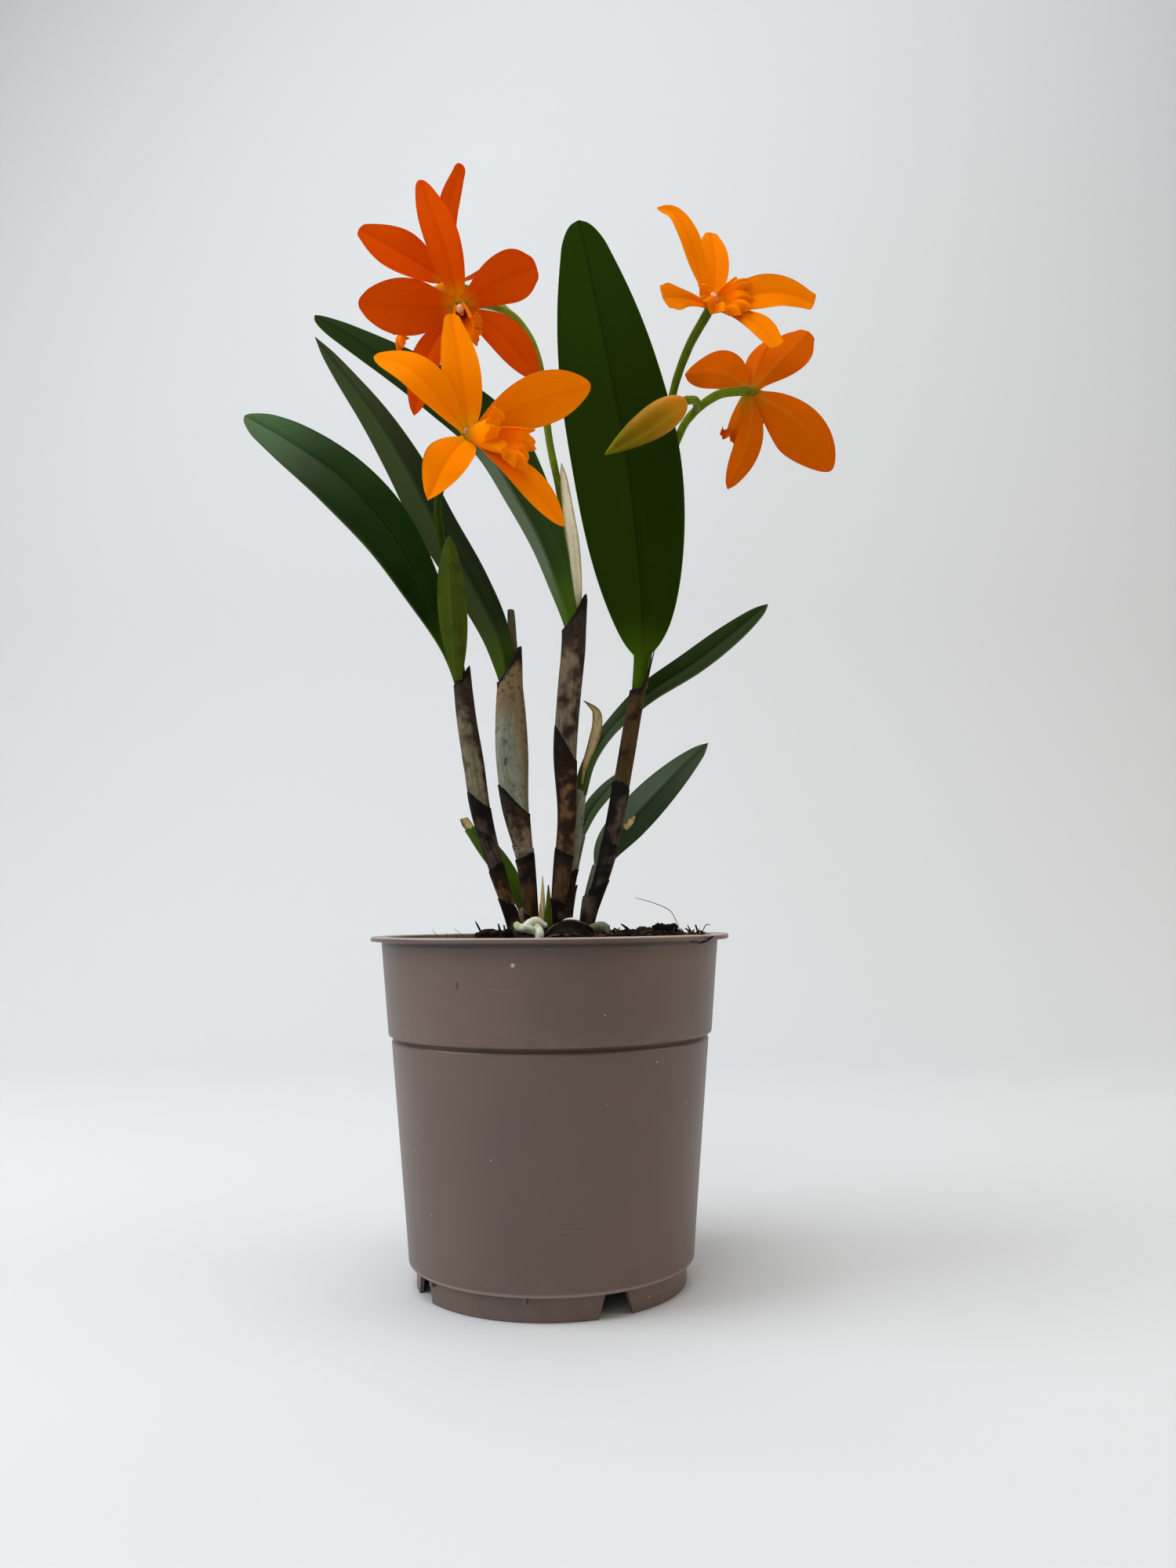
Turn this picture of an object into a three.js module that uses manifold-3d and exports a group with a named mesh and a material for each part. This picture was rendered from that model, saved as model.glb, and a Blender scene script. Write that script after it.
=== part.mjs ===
// A cattleya orchid in bloom, with the moulded nursery pot that it grows in.
//
// Millimetres, +Z up. The origin is the middle of the pot's foot, on the surface that it stands on.
// +X is the plant's right and +Y its back. An azimuth is taken from the front, -Y, towards +X.

import * as THREE from 'three';
import { mergeVertices } from 'three/addons/utils/BufferGeometryUtils.js';
import Module from 'manifold-3d';

const wasm = await Module();
wasm.setup();

// ---------------------------------------------------------------- driving dimensions

const GAP = 0.3; // left between two pieces that touch
const HOLE_GAP = 0.9; // left round a cane's core, which its sheath then fills
const SEAT_GAP = 0.4; // left round what comes up out of a cane's hood
const MERGE = 1e-4; // vertices nearer than this are one
const BLADE_THICKNESS = 0.8; // of leaves, tepals, bracts and the lip

const POT = {
  height: 111.8,
  lipRadius: 60,
  lipThickness: 1.5,
  topRadius: 56.4, // body, just under the lip
  stepHeight: 79.2, // the wall steps in here
  stepRadius: 53.6,
  stepDepth: 0.9,
  bellyHeight: 20,
  bellyRadius: 47.6,
  heelHeight: 11,
  heelRadius: 46.8,
  footHeight: 7.6,
  footRadius: 44,
  wall: 1.2,
  rounding: 0.6, // of the corner between foot and heel
  sides: 36,
};
const FOOT_NOTCH = { count: 4, azimuth: 27.5, bottomWidth: 11.7, topWidth: 7, height: 7.2, depth: 10 };
const FOOT_NUB = { count: 8, azimuth: -8.6, width: 1.2, height: 2, standsOut: 0.7, sunk: 0.6 };
const DRAIN = { count: 8, radius: 3.5, circle: 30, sides: 10 };

const MEDIUM = {
  left: 105.5, right: 110, mound: 3, moundRadius: 22, rough: 0.8, shoulder: 100, rings: 5, sides: 24,
};
const CHIPS = { count: 13, inner: 19, outer: 46, long: 11, broad: 6.5, thick: 3.4, tilt: 0.35, seed: 7 };

// Canes, as [x, y, z, radius] from the medium up. Each sheath is a sleeve from one height to another, and
// its oblique edge rises to a point on the side of its azimuth. The hood is the last one, open at the top.
const CANES = {
  cane_a: {
    stations: [[-9.5, -9, 101, 1.8], [-11.8, -9, 115, 1.9], [-17.2, -10, 133, 2.3], [-22.2, -11, 151.5, 2.9],
      [-25, -12, 170, 3.1], [-27.2, -12.5, 184, 2.8], [-28.4, -13, 195, 2.5]],
    sheaths: [[103, 121, 3, -60], [119, 133, 3, 70], [131, 157, 4, -80]],
    hood: [184, 194, 6, 80],
    bark: 'mottled',
  },
  cane_b: {
    stations: [[-5.2, -2, 101, 1.8], [-6, -2, 116, 2], [-8.3, -2, 137, 2.7], [-11.6, -1, 155, 4.2],
      [-12.8, 0, 174, 5.2], [-13.2, 0, 188, 4.7], [-13.4, 0, 197, 3.9]],
    sheaths: [[103, 124, 3, -70], [122, 142, 3, 80], [140, 157, 6, -80]],
    hood: [184, 198, 11, 80],
    bark: 'silvery',
  },
  cane_c: {
    stations: [[1, -4, 101, 2], [2.4, -4, 117, 2.2], [4.3, -3, 133, 2.7], [6, -2, 152, 2.8],
      [5.6, 0, 174, 3.6], [7.2, 1, 196, 3.7], [8.6, 1.5, 210, 3.7], [9, 2, 218, 3.6]],
    sheaths: [[103, 124, 2, -70], [122, 139, 3, 80], [137, 171, 13, -80]],
    hood: [206, 218, 11, 80],
    bark: 'mottled',
  },
  cane_d: {
    stations: [[10.5, -3, 101, 1.6], [12.6, -3, 115, 1.8], [18.5, -2, 134, 2.4], [22.7, -1, 152, 2.6],
      [26.2, 0, 170, 2.5], [29.5, 1, 188, 2.3], [31.4, 2, 197, 2.2]],
    sheaths: [[103, 127, 3, 80], [125, 150, 4, -60], [148, 166, 5, 70]],
    hood: [186, 196, 12, 80],
    bark: 'mottled',
  },
  // the older, shorter growths behind
  bulb_e: {
    stations: [[3.5, 8, 101, 2.4], [5.2, 8, 116, 2.6], [7.2, 8, 128, 3.2], [8.4, 8, 147, 3.7],
      [10.4, 8, 162, 2.6]],
    sheaths: [[103, 132, 4, 70]],
    bark: 'silvery',
  },
  bulb_f: {
    stations: [[11, 9, 101, 2], [12.4, 9, 115, 2.2], [15, 10, 127, 2.9], [17.2, 11, 136.4, 2.4]],
    sheaths: [[103, 121, 4, -70]],
    bark: 'silvery',
  },
  bulb_g: {
    stations: [[7, 18, 101, 2.1], [8.2, 17.5, 120, 2.6], [9.6, 17, 135, 2.5], [10.6, 16.5, 147, 2.2]],
    sheaths: [[103, 125, 4, 90]],
    bark: 'silvery',
  },
  bulb_h: {
    stations: [[-7.6, 7, 101, 1.7], [-8.4, 7.5, 112, 2], [-9.8, 8, 121, 1.9]],
    sheaths: [[103, 114, 3, -90]],
    bark: 'mottled',
  },
};

// Leaves: the spine runs from the root to the tip, and `faces` is where the upper face looks at each end.
// `stalk` is the share of the length before the blade widens. `fold` lifts the halves off the midrib, as a
// share of the half width.
const LEAVES = {
  leaf_a: {
    spine: [[-29, -11.4, 196], [-33, -11, 211], [-40.6, -11, 228], [-53.6, -11, 250], [-69, -10.5, 267],
      [-87.4, -10, 281.6], [-104.6, -10, 293]],
    faces: [[0.5, -0.85, 0.2], [0.2, -0.9, 0.4]],
    on: 'cane_a', width: 23.5, peak: 0.56, fullness: 0.6, root: 0.2, tip: 0.2, fold: 0.14,
  },
  leaf_b: {
    spine: [[-13.6, 0, 198.4], [-18.6, 1, 216], [-29, 3, 236], [-41.5, 5, 257], [-53, 7, 280], [-64, 9, 300],
      [-75.4, 11, 317], [-86, 12, 331.5]],
    faces: [[0.3, -0.95, 0.1], [0.25, -0.95, 0.1]],
    on: 'cane_b', width: 15.5, peak: 0.45, fullness: 0.65, root: 0.36, tip: 0.1, fold: 0.4,
  },
  leaf_c: {
    spine: [[8.6, 2, 219.4], [6.4, 3, 232], [1, 5, 251.6], [-8.4, 8, 271.4], [-21.4, 12, 292],
      [-39.6, 17, 310], [-59, 23, 327.4], [-78.6, 28, 341.6], [-91.5, 32, 351]],
    faces: [[0.35, -0.93, 0.1], [0.25, -0.9, 0.3]],
    on: 'cane_c', width: 17, peak: 0.42, fullness: 0.6, root: 0.3, tip: 0.1, fold: 0.35,
  },
  leaf_d: {
    spine: [[31.5, 3, 198.6], [32.6, 3.6, 209], [33.4, 6, 225], [32.2, 7.5, 250], [29, 9, 282],
      [22.5, 11, 320], [16, 13, 355], [11.8, 14, 377.6]],
    faces: [[-0.1, 1, 0.05], [-0.1, 1, 0.15]],
    on: 'cane_d', width: 39, peak: 0.46, fullness: 0.56, root: 0.12, tip: 0.12, fold: 0.1,
    stalk: 0.055, along: 12,
  },
  leaf_e: {
    spine: [[10.8, 8, 163], [15.5, 9, 173], [23, 11, 184.6], [35, 15, 197], [52, 21, 209], [68, 27, 222],
      [82, 33, 234.4]],
    faces: [[-0.3, -0.9, 0.3], [-0.2, -0.8, 0.5]],
    width: 11.5, peak: 0.66, fullness: 0.6, root: 0.3, tip: 0.16, fold: 0.2,
  },
  leaf_f: {
    spine: [[17.5, 11.2, 137.8], [21, 13, 143], [28.6, 15, 151.6], [38.4, 18, 162], [48.4, 22, 172],
      [57.5, 26, 180.5]],
    faces: [[0.4, -0.9, 0.3], [0.3, -0.85, 0.4]],
    width: 13, peak: 0.4, fullness: 0.6, root: 0.3, tip: 0.1, fold: 0.2,
  },
  leaf_g: {
    spine: [[10.7, 16.6, 147.7], [14, 19, 154.6], [20, 23, 162.6], [27, 29, 171]],
    faces: [[-0.4, -0.8, 0.4], [-0.4, -0.8, 0.4]],
    width: 7, peak: 0.5, fullness: 0.6, root: 0.35, tip: 0.2, fold: 0.3, along: 8,
  },
  leaf_h: {
    spine: [[-9.9, 8.1, 121.8], [-13, 9.6, 128], [-18.4, 12, 136], [-24.6, 14.5, 144], [-30.4, 17, 151]],
    faces: [[0.6, -0.7, 0.3], [0.5, -0.7, 0.4]],
    width: 7.5, peak: 0.5, fullness: 0.5, root: 0.35, tip: 0.5, fold: 0.25, along: 8,
  },
};

// The folded sheaths that the flower stalks came up through. Green ones are this year's.
const SPATHES = {
  spathe_a: {
    spine: [[-30.2, -17.1, 196.4], [-31.4, -21.4, 213], [-32.2, -24.4, 228], [-32.2, -26, 243]],
    faces: [[-0.2, 1, 0], [-0.2, 1, 0]],
    on: 'cane_a', width: 9.6, peak: 0.5, fullness: 0.6, root: 0.3, tip: 0.14, fold: 0.45, fresh: true,
  },
  spathe_b: {
    spine: [[-12.6, 4, 198], [-12, 4.6, 210], [-12.6, 5.4, 219], [-14.2, 6, 226.4]],
    faces: [[0.3, -1, 0], [0.3, -1, 0]],
    on: 'cane_b', width: 4.6, peak: 0.5, fullness: 0.5, root: 0.7, tip: 0.3, fold: 0.3, fresh: false,
  },
  spathe_c: {
    spine: [[9.6, 5.4, 219.4], [10, 8.6, 236], [8.4, 10.4, 260], [5.2, 11, 283]],
    faces: [[0.1, -1, 0], [0.1, -1, 0]],
    on: 'cane_c', width: 5.6, peak: 0.42, fullness: 0.6, root: 0.6, tip: 0.14, fold: 0.3, fresh: false,
  },
  spathe_e: {
    spine: [[11.4, 5.4, 162.6], [14.4, 6, 173], [16.6, 6.6, 185], [15.4, 7.6, 191], [11.6, 7.6, 194]],
    faces: [[0.4, -1, 0.2], [-0.2, -0.6, -0.8]],
    width: 4.4, peak: 0.42, fullness: 0.6, root: 0.5, tip: 0.2, fold: 0.3, fresh: false,
  },
};

// Flower stalks: each branch is a list of points and a diameter.
const STALKS = {
  stalk_a: {
    on: 'cane_a',
    branches: [
      { diameter: 2.5, points: [[-28.6, -14, 196.6], [-32, -18, 228], [-35, -20.4, 244], [-35.8, -23, 256],
        [-32, -28, 264], [-25.8, -35.9, 271]] },
    ],
  },
  stalk_c: {
    on: 'cane_c',
    branches: [
      { diameter: 2.6, points: [[10.4, -0.6, 219.4], [8.6, 0.4, 246], [4.2, 3.6, 271], [0.4, 5.6, 290],
        [-2.2, 6, 314], [-6.2, 5, 327], [-13, 3, 335], [-22, -1, 336.6], [-28.2, -7.9, 332]] },
      { diameter: 2.4, points: [[-11, 3.6, 333.4], [-18, 8, 342], [-25, 12.6, 348.6], [-33.4, 15.2, 352.7]] },
    ],
  },
  stalk_d: {
    on: 'cane_d',
    branches: [
      { diameter: 3.2, points: [[33, 6.6, 198], [36, 11, 216], [41, 15, 240], [46, 17, 270],
        [47.4, 16.4, 295]] },
      { diameter: 3.2, points: [[47.4, 16.4, 292], [46.4, 15.4, 308], [51.6, 10.8, 325],
        [58.6, 6.6, 336.6]] },
      { diameter: 3.2, points: [[47.4, 16.4, 290], [52, 13.4, 299.6], [62, 9.4, 306.4], [72.4, 12, 309.4]] },
      { diameter: 2.6, points: [[47.4, 16.4, 291], [53.2, 12, 296.6], [55, 5, 301.4], [49.3, -1.5, 299.5]] },
    ],
  },
};

// Flowers: where the parts meet, and the tepals, of which `faces` is where the inner face looks.
// `lip` is the middle of the lip's mouth.
const FLOWERS = {
  flower_1: {
    at: [-36, 16, 354], lip: [-57.5, 5, 331], hue: 'red',
    tepals: [
      { spine: [[-37, 15.6, 381], [-33, 20, 405]], width: 9, faces: [-0.5, -0.9, 0] },
      { spine: [[-53, 8, 361.4], [-69, 5, 369.6]], width: 13.5, faces: [-0.2, -0.85, 0.4] },
      { spine: [[-26, 30, 368], [-17, 38, 378]], width: 12, faces: [-0.6, -0.8, 0] },
      { spine: [[-41, 26, 342], [-43, 32, 326]], width: 9, faces: [-0.7, -0.4, 0.3] },
      { spine: [[-29, 30, 351], [-23, 38, 342]], width: 9, faces: [-0.7, -0.4, 0.3] },
    ],
  },
  flower_2: {
    at: [-30, -10, 331], lip: [-26, -26, 321], hue: 'red',
    tepals: [
      { spine: [[-37.4, -9, 358], [-45, -5, 382]], width: 11.5, faces: [-0.1, -1, -0.1] },
      { spine: [[-48, -17, 328], [-64, -19, 328.6]], width: 18.5, faces: [0, -0.9, -0.4] },
      { spine: [[-16.6, -15, 339.4], [-3.4, -8, 348]], width: 16.5, faces: [-0.2, -1, -0.1] },
      { spine: [[-15, -11, 320], [-4.8, -7, 307.4]], width: 12, faces: [0, -1, 0.1] },
      { spine: [[-41.5, -7, 315], [-47, -3, 294.4]], width: 10.5, faces: [0, -1, 0] },
    ],
  },
  flower_3: {
    at: [-24, -38, 272], lip: [-7, -52, 262.6], hue: 'gold',
    tepals: [
      { spine: [[-27, -37, 294], [-31, -30, 317.4]], width: 14, faces: [0.15, -1, 0] },
      { spine: [[-40, -42, 291], [-55, -35, 301]], width: 13.5, faces: [0.2, -0.95, 0.2] },
      { spine: [[-4, -38, 283], [15.4, -30, 292.4]], width: 16.5, faces: [0.1, -0.95, -0.2] },
      { spine: [[-29.6, -46, 261], [-35.6, -49, 246.6]], width: 14, faces: [0.2, -0.7, 0.7] },
      { spine: [[-6.6, -42, 257], [6.4, -41, 240.6]], width: 9.5, faces: [0, -0.9, 0.4] },
    ],
  },
  flower_4: {
    at: [60, 6, 339], lip: [67.6, -9, 344], hue: 'gold',
    tepals: [
      { spine: [[55.4, 6, 352], [52, 6, 366], [47, 8, 375.6], [41.6, 9, 378.6]], width: 9,
        faces: [0.3, -0.95, 0] },
      { spine: [[62.6, 13, 358], [62.6, 21, 376.6]], width: 11, faces: [0.2, -1, 0.3] },
      { spine: [[79, 0, 341.6], [97, 0, 335.4]], width: 12.5, faces: [0.1, -0.95, 0.3] },
      { spine: [[49, -3, 338.6], [42, -11, 334.6]], width: 11.5, faces: [0.4, -0.8, 0.4] },
      { spine: [[72, -4, 329.6], [81.6, -9, 317]], width: 9, faces: [0.3, -0.8, 0.5] },
    ],
  },
  flower_5: {
    at: [75, 14, 310], lip: [72.4, 33, 301], hue: 'deep',
    tepals: [
      { spine: [[66, 19, 319.4], [52, 29, 324]], width: 12, faces: [0.4, 0.9, 0] },
      { spine: [[79, 24, 325], [86, 34, 340]], width: 9, faces: [0.2, 0.9, -0.4] },
      { spine: [[87.4, 16, 323], [99, 24, 337.6]], width: 15.5, faces: [0.1, 1, 0] },
      { spine: [[92.4, 13, 297], [104.6, 17, 281.2]], width: 19.5, faces: [0.1, 1, 0.1] },
      { spine: [[74, 15, 293], [66.4, 22, 275.6]], width: 10.5, faces: [0.3, 0.95, 0] },
    ],
  },
};
const TEPAL = { peak: 0.54, fullness: 0.65, root: 0.25, tip: 0.16, fold: 0.12, along: 7, across: 2 };
const TEPAL_START = 1.7; // from the middle of the flower
// The lip is a tube for `tubeShare` of its length and then flares. `wraps` is how far it goes round on each
// side, in degrees, at the throat and at the mouth, and `swept` how much shorter its edges are.
const LIP = {
  throat: 2.2, tube: 4.4, mouth: 7.6, tubeShare: 0.6, flare: 1.4, wraps: [155, 125], swept: 0.28,
  frill: 1.5, frills: 3, along: 5, across: 10,
};
const COLUMN = { length: 9, radius: 1.7, raised: 1.4, profile: [[0, 1], [0.5, 0.85], [0.85, 1.1], [1, 0.6]] };
const HUB_RADIUS = 2.5;

const ROUND_SIDES = 8; // of canes, stalks and roots
const STEM_STEP = 10;
const SHEATH = { clasp: 0.25, flare: 0.65 }; // how far it stands off the cane at its foot and at its edge
const HOOD = { thickness: 0.8, wraps: 150, along: 2, across: 8, clasp: 0.1, flare: 0.3 };

const BUD = {
  base: [49.4, -1.6, 299.6], tip: [20, -12, 275.6], radius: 5.9, peak: 0.36, ridge: 0.05,
  rings: 10, sides: 12,
};

const ROOTS = [ // plump young roots that arch out of the canes' feet
  [[-9.8, -13.6, 110.6], [-6.4, -14.6, 114.2], [-3, -15.4, 110.4]],
  [[-7.6, -15.4, 110], [-4, -15.6, 113], [0.4, -14.6, 109.6]],
  [[11.4, -9.4, 110.4], [15, -9.8, 114], [19.4, -9, 109.8]],
];
const ROOT_RADIUS = 1.7;
const SHOOT_BOTTOM = 104;
const SHOOTS = { // [x, y, top, radius]
  shoot_cream: [-2.4, -8.6, 131, 1.1],
  shoot_green: [0.1, -10.4, 124, 1.4],
};
const OLD_SHEATH = {
  spine: [[2.6, -14.6, 111], [6, -15.4, 113.4], [10.4, -15.2, 113.6], [14.4, -13.6, 110.6]],
  faces: [[0, -0.6, 0.8], [0, -0.4, 0.9]],
  width: 5.4, peak: 0.5, fullness: 0.5, root: 0.4, tip: 0.3, fold: -0.35, along: 7,
};

// ---------------------------------------------------------------- colours

const finish = (color, roughness) => new THREE.MeshStandardMaterial({ color, roughness, metalness: 0 });
const MATERIALS = {
  pot: finish('#5f5450', 0.45),
  medium: finish('#2b1d14', 0.95),
  leaf: finish('#24401c', 0.35),
  mottled: finish('#4d3f33', 0.75),
  silvery: finish('#8a8a76', 0.7),
  fresh: finish('#5d7a35', 0.5),
  dry: finish('#c9b995', 0.8),
  stalk: finish('#6b8a2e', 0.5),
  red: finish('#dd4d0e', 0.5),
  gold: finish('#f07c0c', 0.5),
  deep: finish('#dd6a0c', 0.5),
  bud: finish('#b58a1e', 0.5),
  root: finish('#c9cdb4', 0.6),
  black: finish('#1d1713', 0.7),
};

// ---------------------------------------------------------------- geometry helpers

const point = ([x, y, z]) => new THREE.Vector3(x, y, z);
const lerp = THREE.MathUtils.lerp;
const outward = azimuth => {
  const angle = THREE.MathUtils.degToRad(azimuth);
  return new THREE.Vector3(Math.sin(angle), -Math.cos(angle), 0);
};

// A repeatable random number from 0 to 1.
function seeded(seed) {
  let state = seed;
  return () => {
    state = (state * 16807) % 2147483647;
    return (state & 0xffff) / 0xffff;
  };
}

function geometryOf(points, faces) {
  const geometry = new THREE.BufferGeometry();
  geometry.setAttribute('position', new THREE.Float32BufferAttribute(points.flatMap(p => p.toArray()), 3));
  geometry.setIndex(faces.flat());
  return geometry;
}

// The solid that a closed geometry bounds, for joining and cutting.
function solid(geometry) {
  geometry.deleteAttribute('normal');
  geometry.deleteAttribute('uv');
  const merged = mergeVertices(geometry, MERGE);
  const corners = merged.index.array;
  const triVerts = [];
  for (let i = 0; i < corners.length; i += 3) {
    const [a, b, c] = corners.slice(i, i + 3);
    if (a !== b && b !== c && c !== a) triVerts.push(a, b, c);
  }
  const vertProperties = merged.attributes.position.array;
  const mesh = new wasm.Mesh({ numProp: 3, vertProperties, triVerts: new Uint32Array(triVerts) });
  return new wasm.Manifold(mesh);
}

// The geometry of a solid, without any crumb that a cut has left loose.
function geometryFrom(joined) {
  const [largest] = joined.decompose().sort((a, b) => b.volume() - a.volume());
  const { vertProperties, triVerts } = largest.getMesh();
  const geometry = new THREE.BufferGeometry();
  geometry.setAttribute('position', new THREE.Float32BufferAttribute(vertProperties, 3));
  geometry.setIndex(new THREE.BufferAttribute(triVerts, 1));
  return geometry;
}

const join = solids => solids.reduce((whole, next) => whole.add(next));
const cut = (whole, tools) => tools.reduce((rest, tool) => rest.subtract(tool), whole);

// A closed tube through rings of points, each ring counter-clockwise about the way the tube runs.
function loft(rings) {
  const sides = rings[0].length;
  const points = rings.flat();
  const faces = [];
  for (let i = 0; i < rings.length - 1; i += 1) {
    for (let j = 0; j < sides; j += 1) {
      const [a, b] = [i * sides + j, i * sides + (j + 1) % sides];
      faces.push([a, b, b + sides], [a, b + sides, a + sides]);
    }
  }
  const middleOf = ring => ring.reduce((sum, p) => sum.add(p), new THREE.Vector3()).divideScalar(sides);
  points.push(middleOf(rings[0]), middleOf(rings.at(-1)));
  const last = (rings.length - 1) * sides;
  for (let j = 0; j < sides; j += 1) {
    const next = (j + 1) % sides;
    faces.push([points.length - 2, next, j], [points.length - 1, last + j, last + next]);
  }
  return geometryOf(points, faces);
}

// A closed sheet of even thickness over rows of points, split into triangles alike on both faces.
function sheet(rows, thickness) {
  const [last, wide] = [rows.length - 1, rows[0].length];
  const normal = (i, j) => {
    const along = rows[Math.min(i + 1, last)][j].clone().sub(rows[Math.max(i - 1, 0)][j]);
    const across = rows[i][Math.min(j + 1, wide - 1)].clone().sub(rows[i][Math.max(j - 1, 0)]);
    return along.cross(across).normalize();
  };
  const side = offset => rows.flatMap((row, i) =>
    row.map((p, j) => p.clone().addScaledVector(normal(i, j), offset)));
  const points = [...side(thickness / 2), ...side(-thickness / 2)];
  const under = rows.length * wide;
  const faces = [];
  for (let i = 0; i < last; i += 1) {
    for (let j = 0; j < wide - 1; j += 1) {
      const [a, b, c, d] = [i * wide + j, (i + 1) * wide + j, (i + 1) * wide + j + 1, i * wide + j + 1];
      faces.push([a, b, c], [a, c, d]);
      faces.push([under + a, under + c, under + b], [under + a, under + d, under + c]);
    }
  }
  const rim = [];
  for (let i = 0; i < last; i += 1) rim.push(i * wide);
  for (let j = 0; j < wide - 1; j += 1) rim.push(last * wide + j);
  for (let i = last; i > 0; i -= 1) rim.push(i * wide + wide - 1);
  for (let j = wide - 1; j > 0; j -= 1) rim.push(j);
  rim.forEach((a, k) => {
    const b = rim[(k + 1) % rim.length];
    faces.push([b, a, under + a], [b, under + a, under + b]);
  });
  return geometryOf(points, faces);
}

// A leaf, tepal or bract: a sheet along a spine, widest at `peak`, with its halves folded up off the midrib.
function blade(spec) {
  const { spine, faces, width, peak, fullness, root, tip, fold } = spec;
  const { stalk = 0, along = 10, across = 4, thickness = BLADE_THICKNESS } = spec;
  const curve = new THREE.CatmullRomCurve3(spine.map(point));
  const skew = Math.log(0.5) / Math.log(peak);
  const rows = [];
  for (let i = 0; i <= along; i += 1) {
    const even = i / along;
    const t = lerp(even, (1 - Math.cos(Math.PI * even)) / 2, 0.6); // closer together at the ends
    const tangent = curve.getTangentAt(t);
    const face = point(faces[0]).lerp(point(faces[1]), t);
    face.addScaledVector(tangent, -face.dot(tangent)).normalize();
    const side = face.clone().cross(tangent);
    const grown = Math.max(0, (t - stalk) / (1 - stalk));
    const swell = Math.max(0, Math.sin(Math.PI * grown ** skew)) ** fullness;
    const half = width / 2 * Math.max(swell, lerp(root, tip, grown));
    const row = [];
    for (let j = 0; j <= across; j += 1) {
      const u = 2 * j / across - 1;
      const lift = fold * Math.abs(u) * half;
      row.push(curve.getPointAt(t).addScaledVector(side, u * half).addScaledVector(face, lift));
    }
    rows.push(row);
  }
  return sheet(rows, thickness);
}

// A round stem of even thickness along a smooth curve.
function stem({ points, diameter }) {
  const curve = new THREE.CatmullRomCurve3(points.map(point));
  const section = new THREE.Shape().absarc(0, 0, diameter / 2, 0, 2 * Math.PI);
  const steps = Math.max(5, Math.round(curve.getLength() / STEM_STEP));
  return new THREE.ExtrudeGeometry(section, {
    steps, curveSegments: ROUND_SIDES / 2, bevelEnabled: false, extrudePath: curve,
  });
}

// A line of points made longer by the same amount at both ends.
function lengthened(points, extra) {
  const past = (end, inner) => point(end).add(point(end).sub(point(inner)).setLength(extra)).toArray();
  return [past(points[0], points[1]), ...points.slice(1, -1), past(points.at(-1), points.at(-2))];
}

// ---------------------------------------------------------------- the pot

function lathe(profile) {
  const outline = profile.map(([radius, height]) => new THREE.Vector2(radius, height));
  return new THREE.LatheGeometry(outline, POT.sides).rotateX(Math.PI / 2);
}

const innerRadius = z => {
  const walls = [[POT.footHeight, POT.footRadius], [POT.heelHeight, POT.heelRadius],
    [POT.bellyHeight, POT.bellyRadius], [POT.stepHeight, POT.stepRadius - POT.stepDepth],
    [POT.height, POT.topRadius]];
  const k = walls.findIndex(([height]) => height >= z);
  const [[z0, r0], [z1, r1]] = [walls[k - 1], walls[k]];
  return lerp(r0, r1, (z - z0) / (z1 - z0)) - POT.wall;
};

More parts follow.
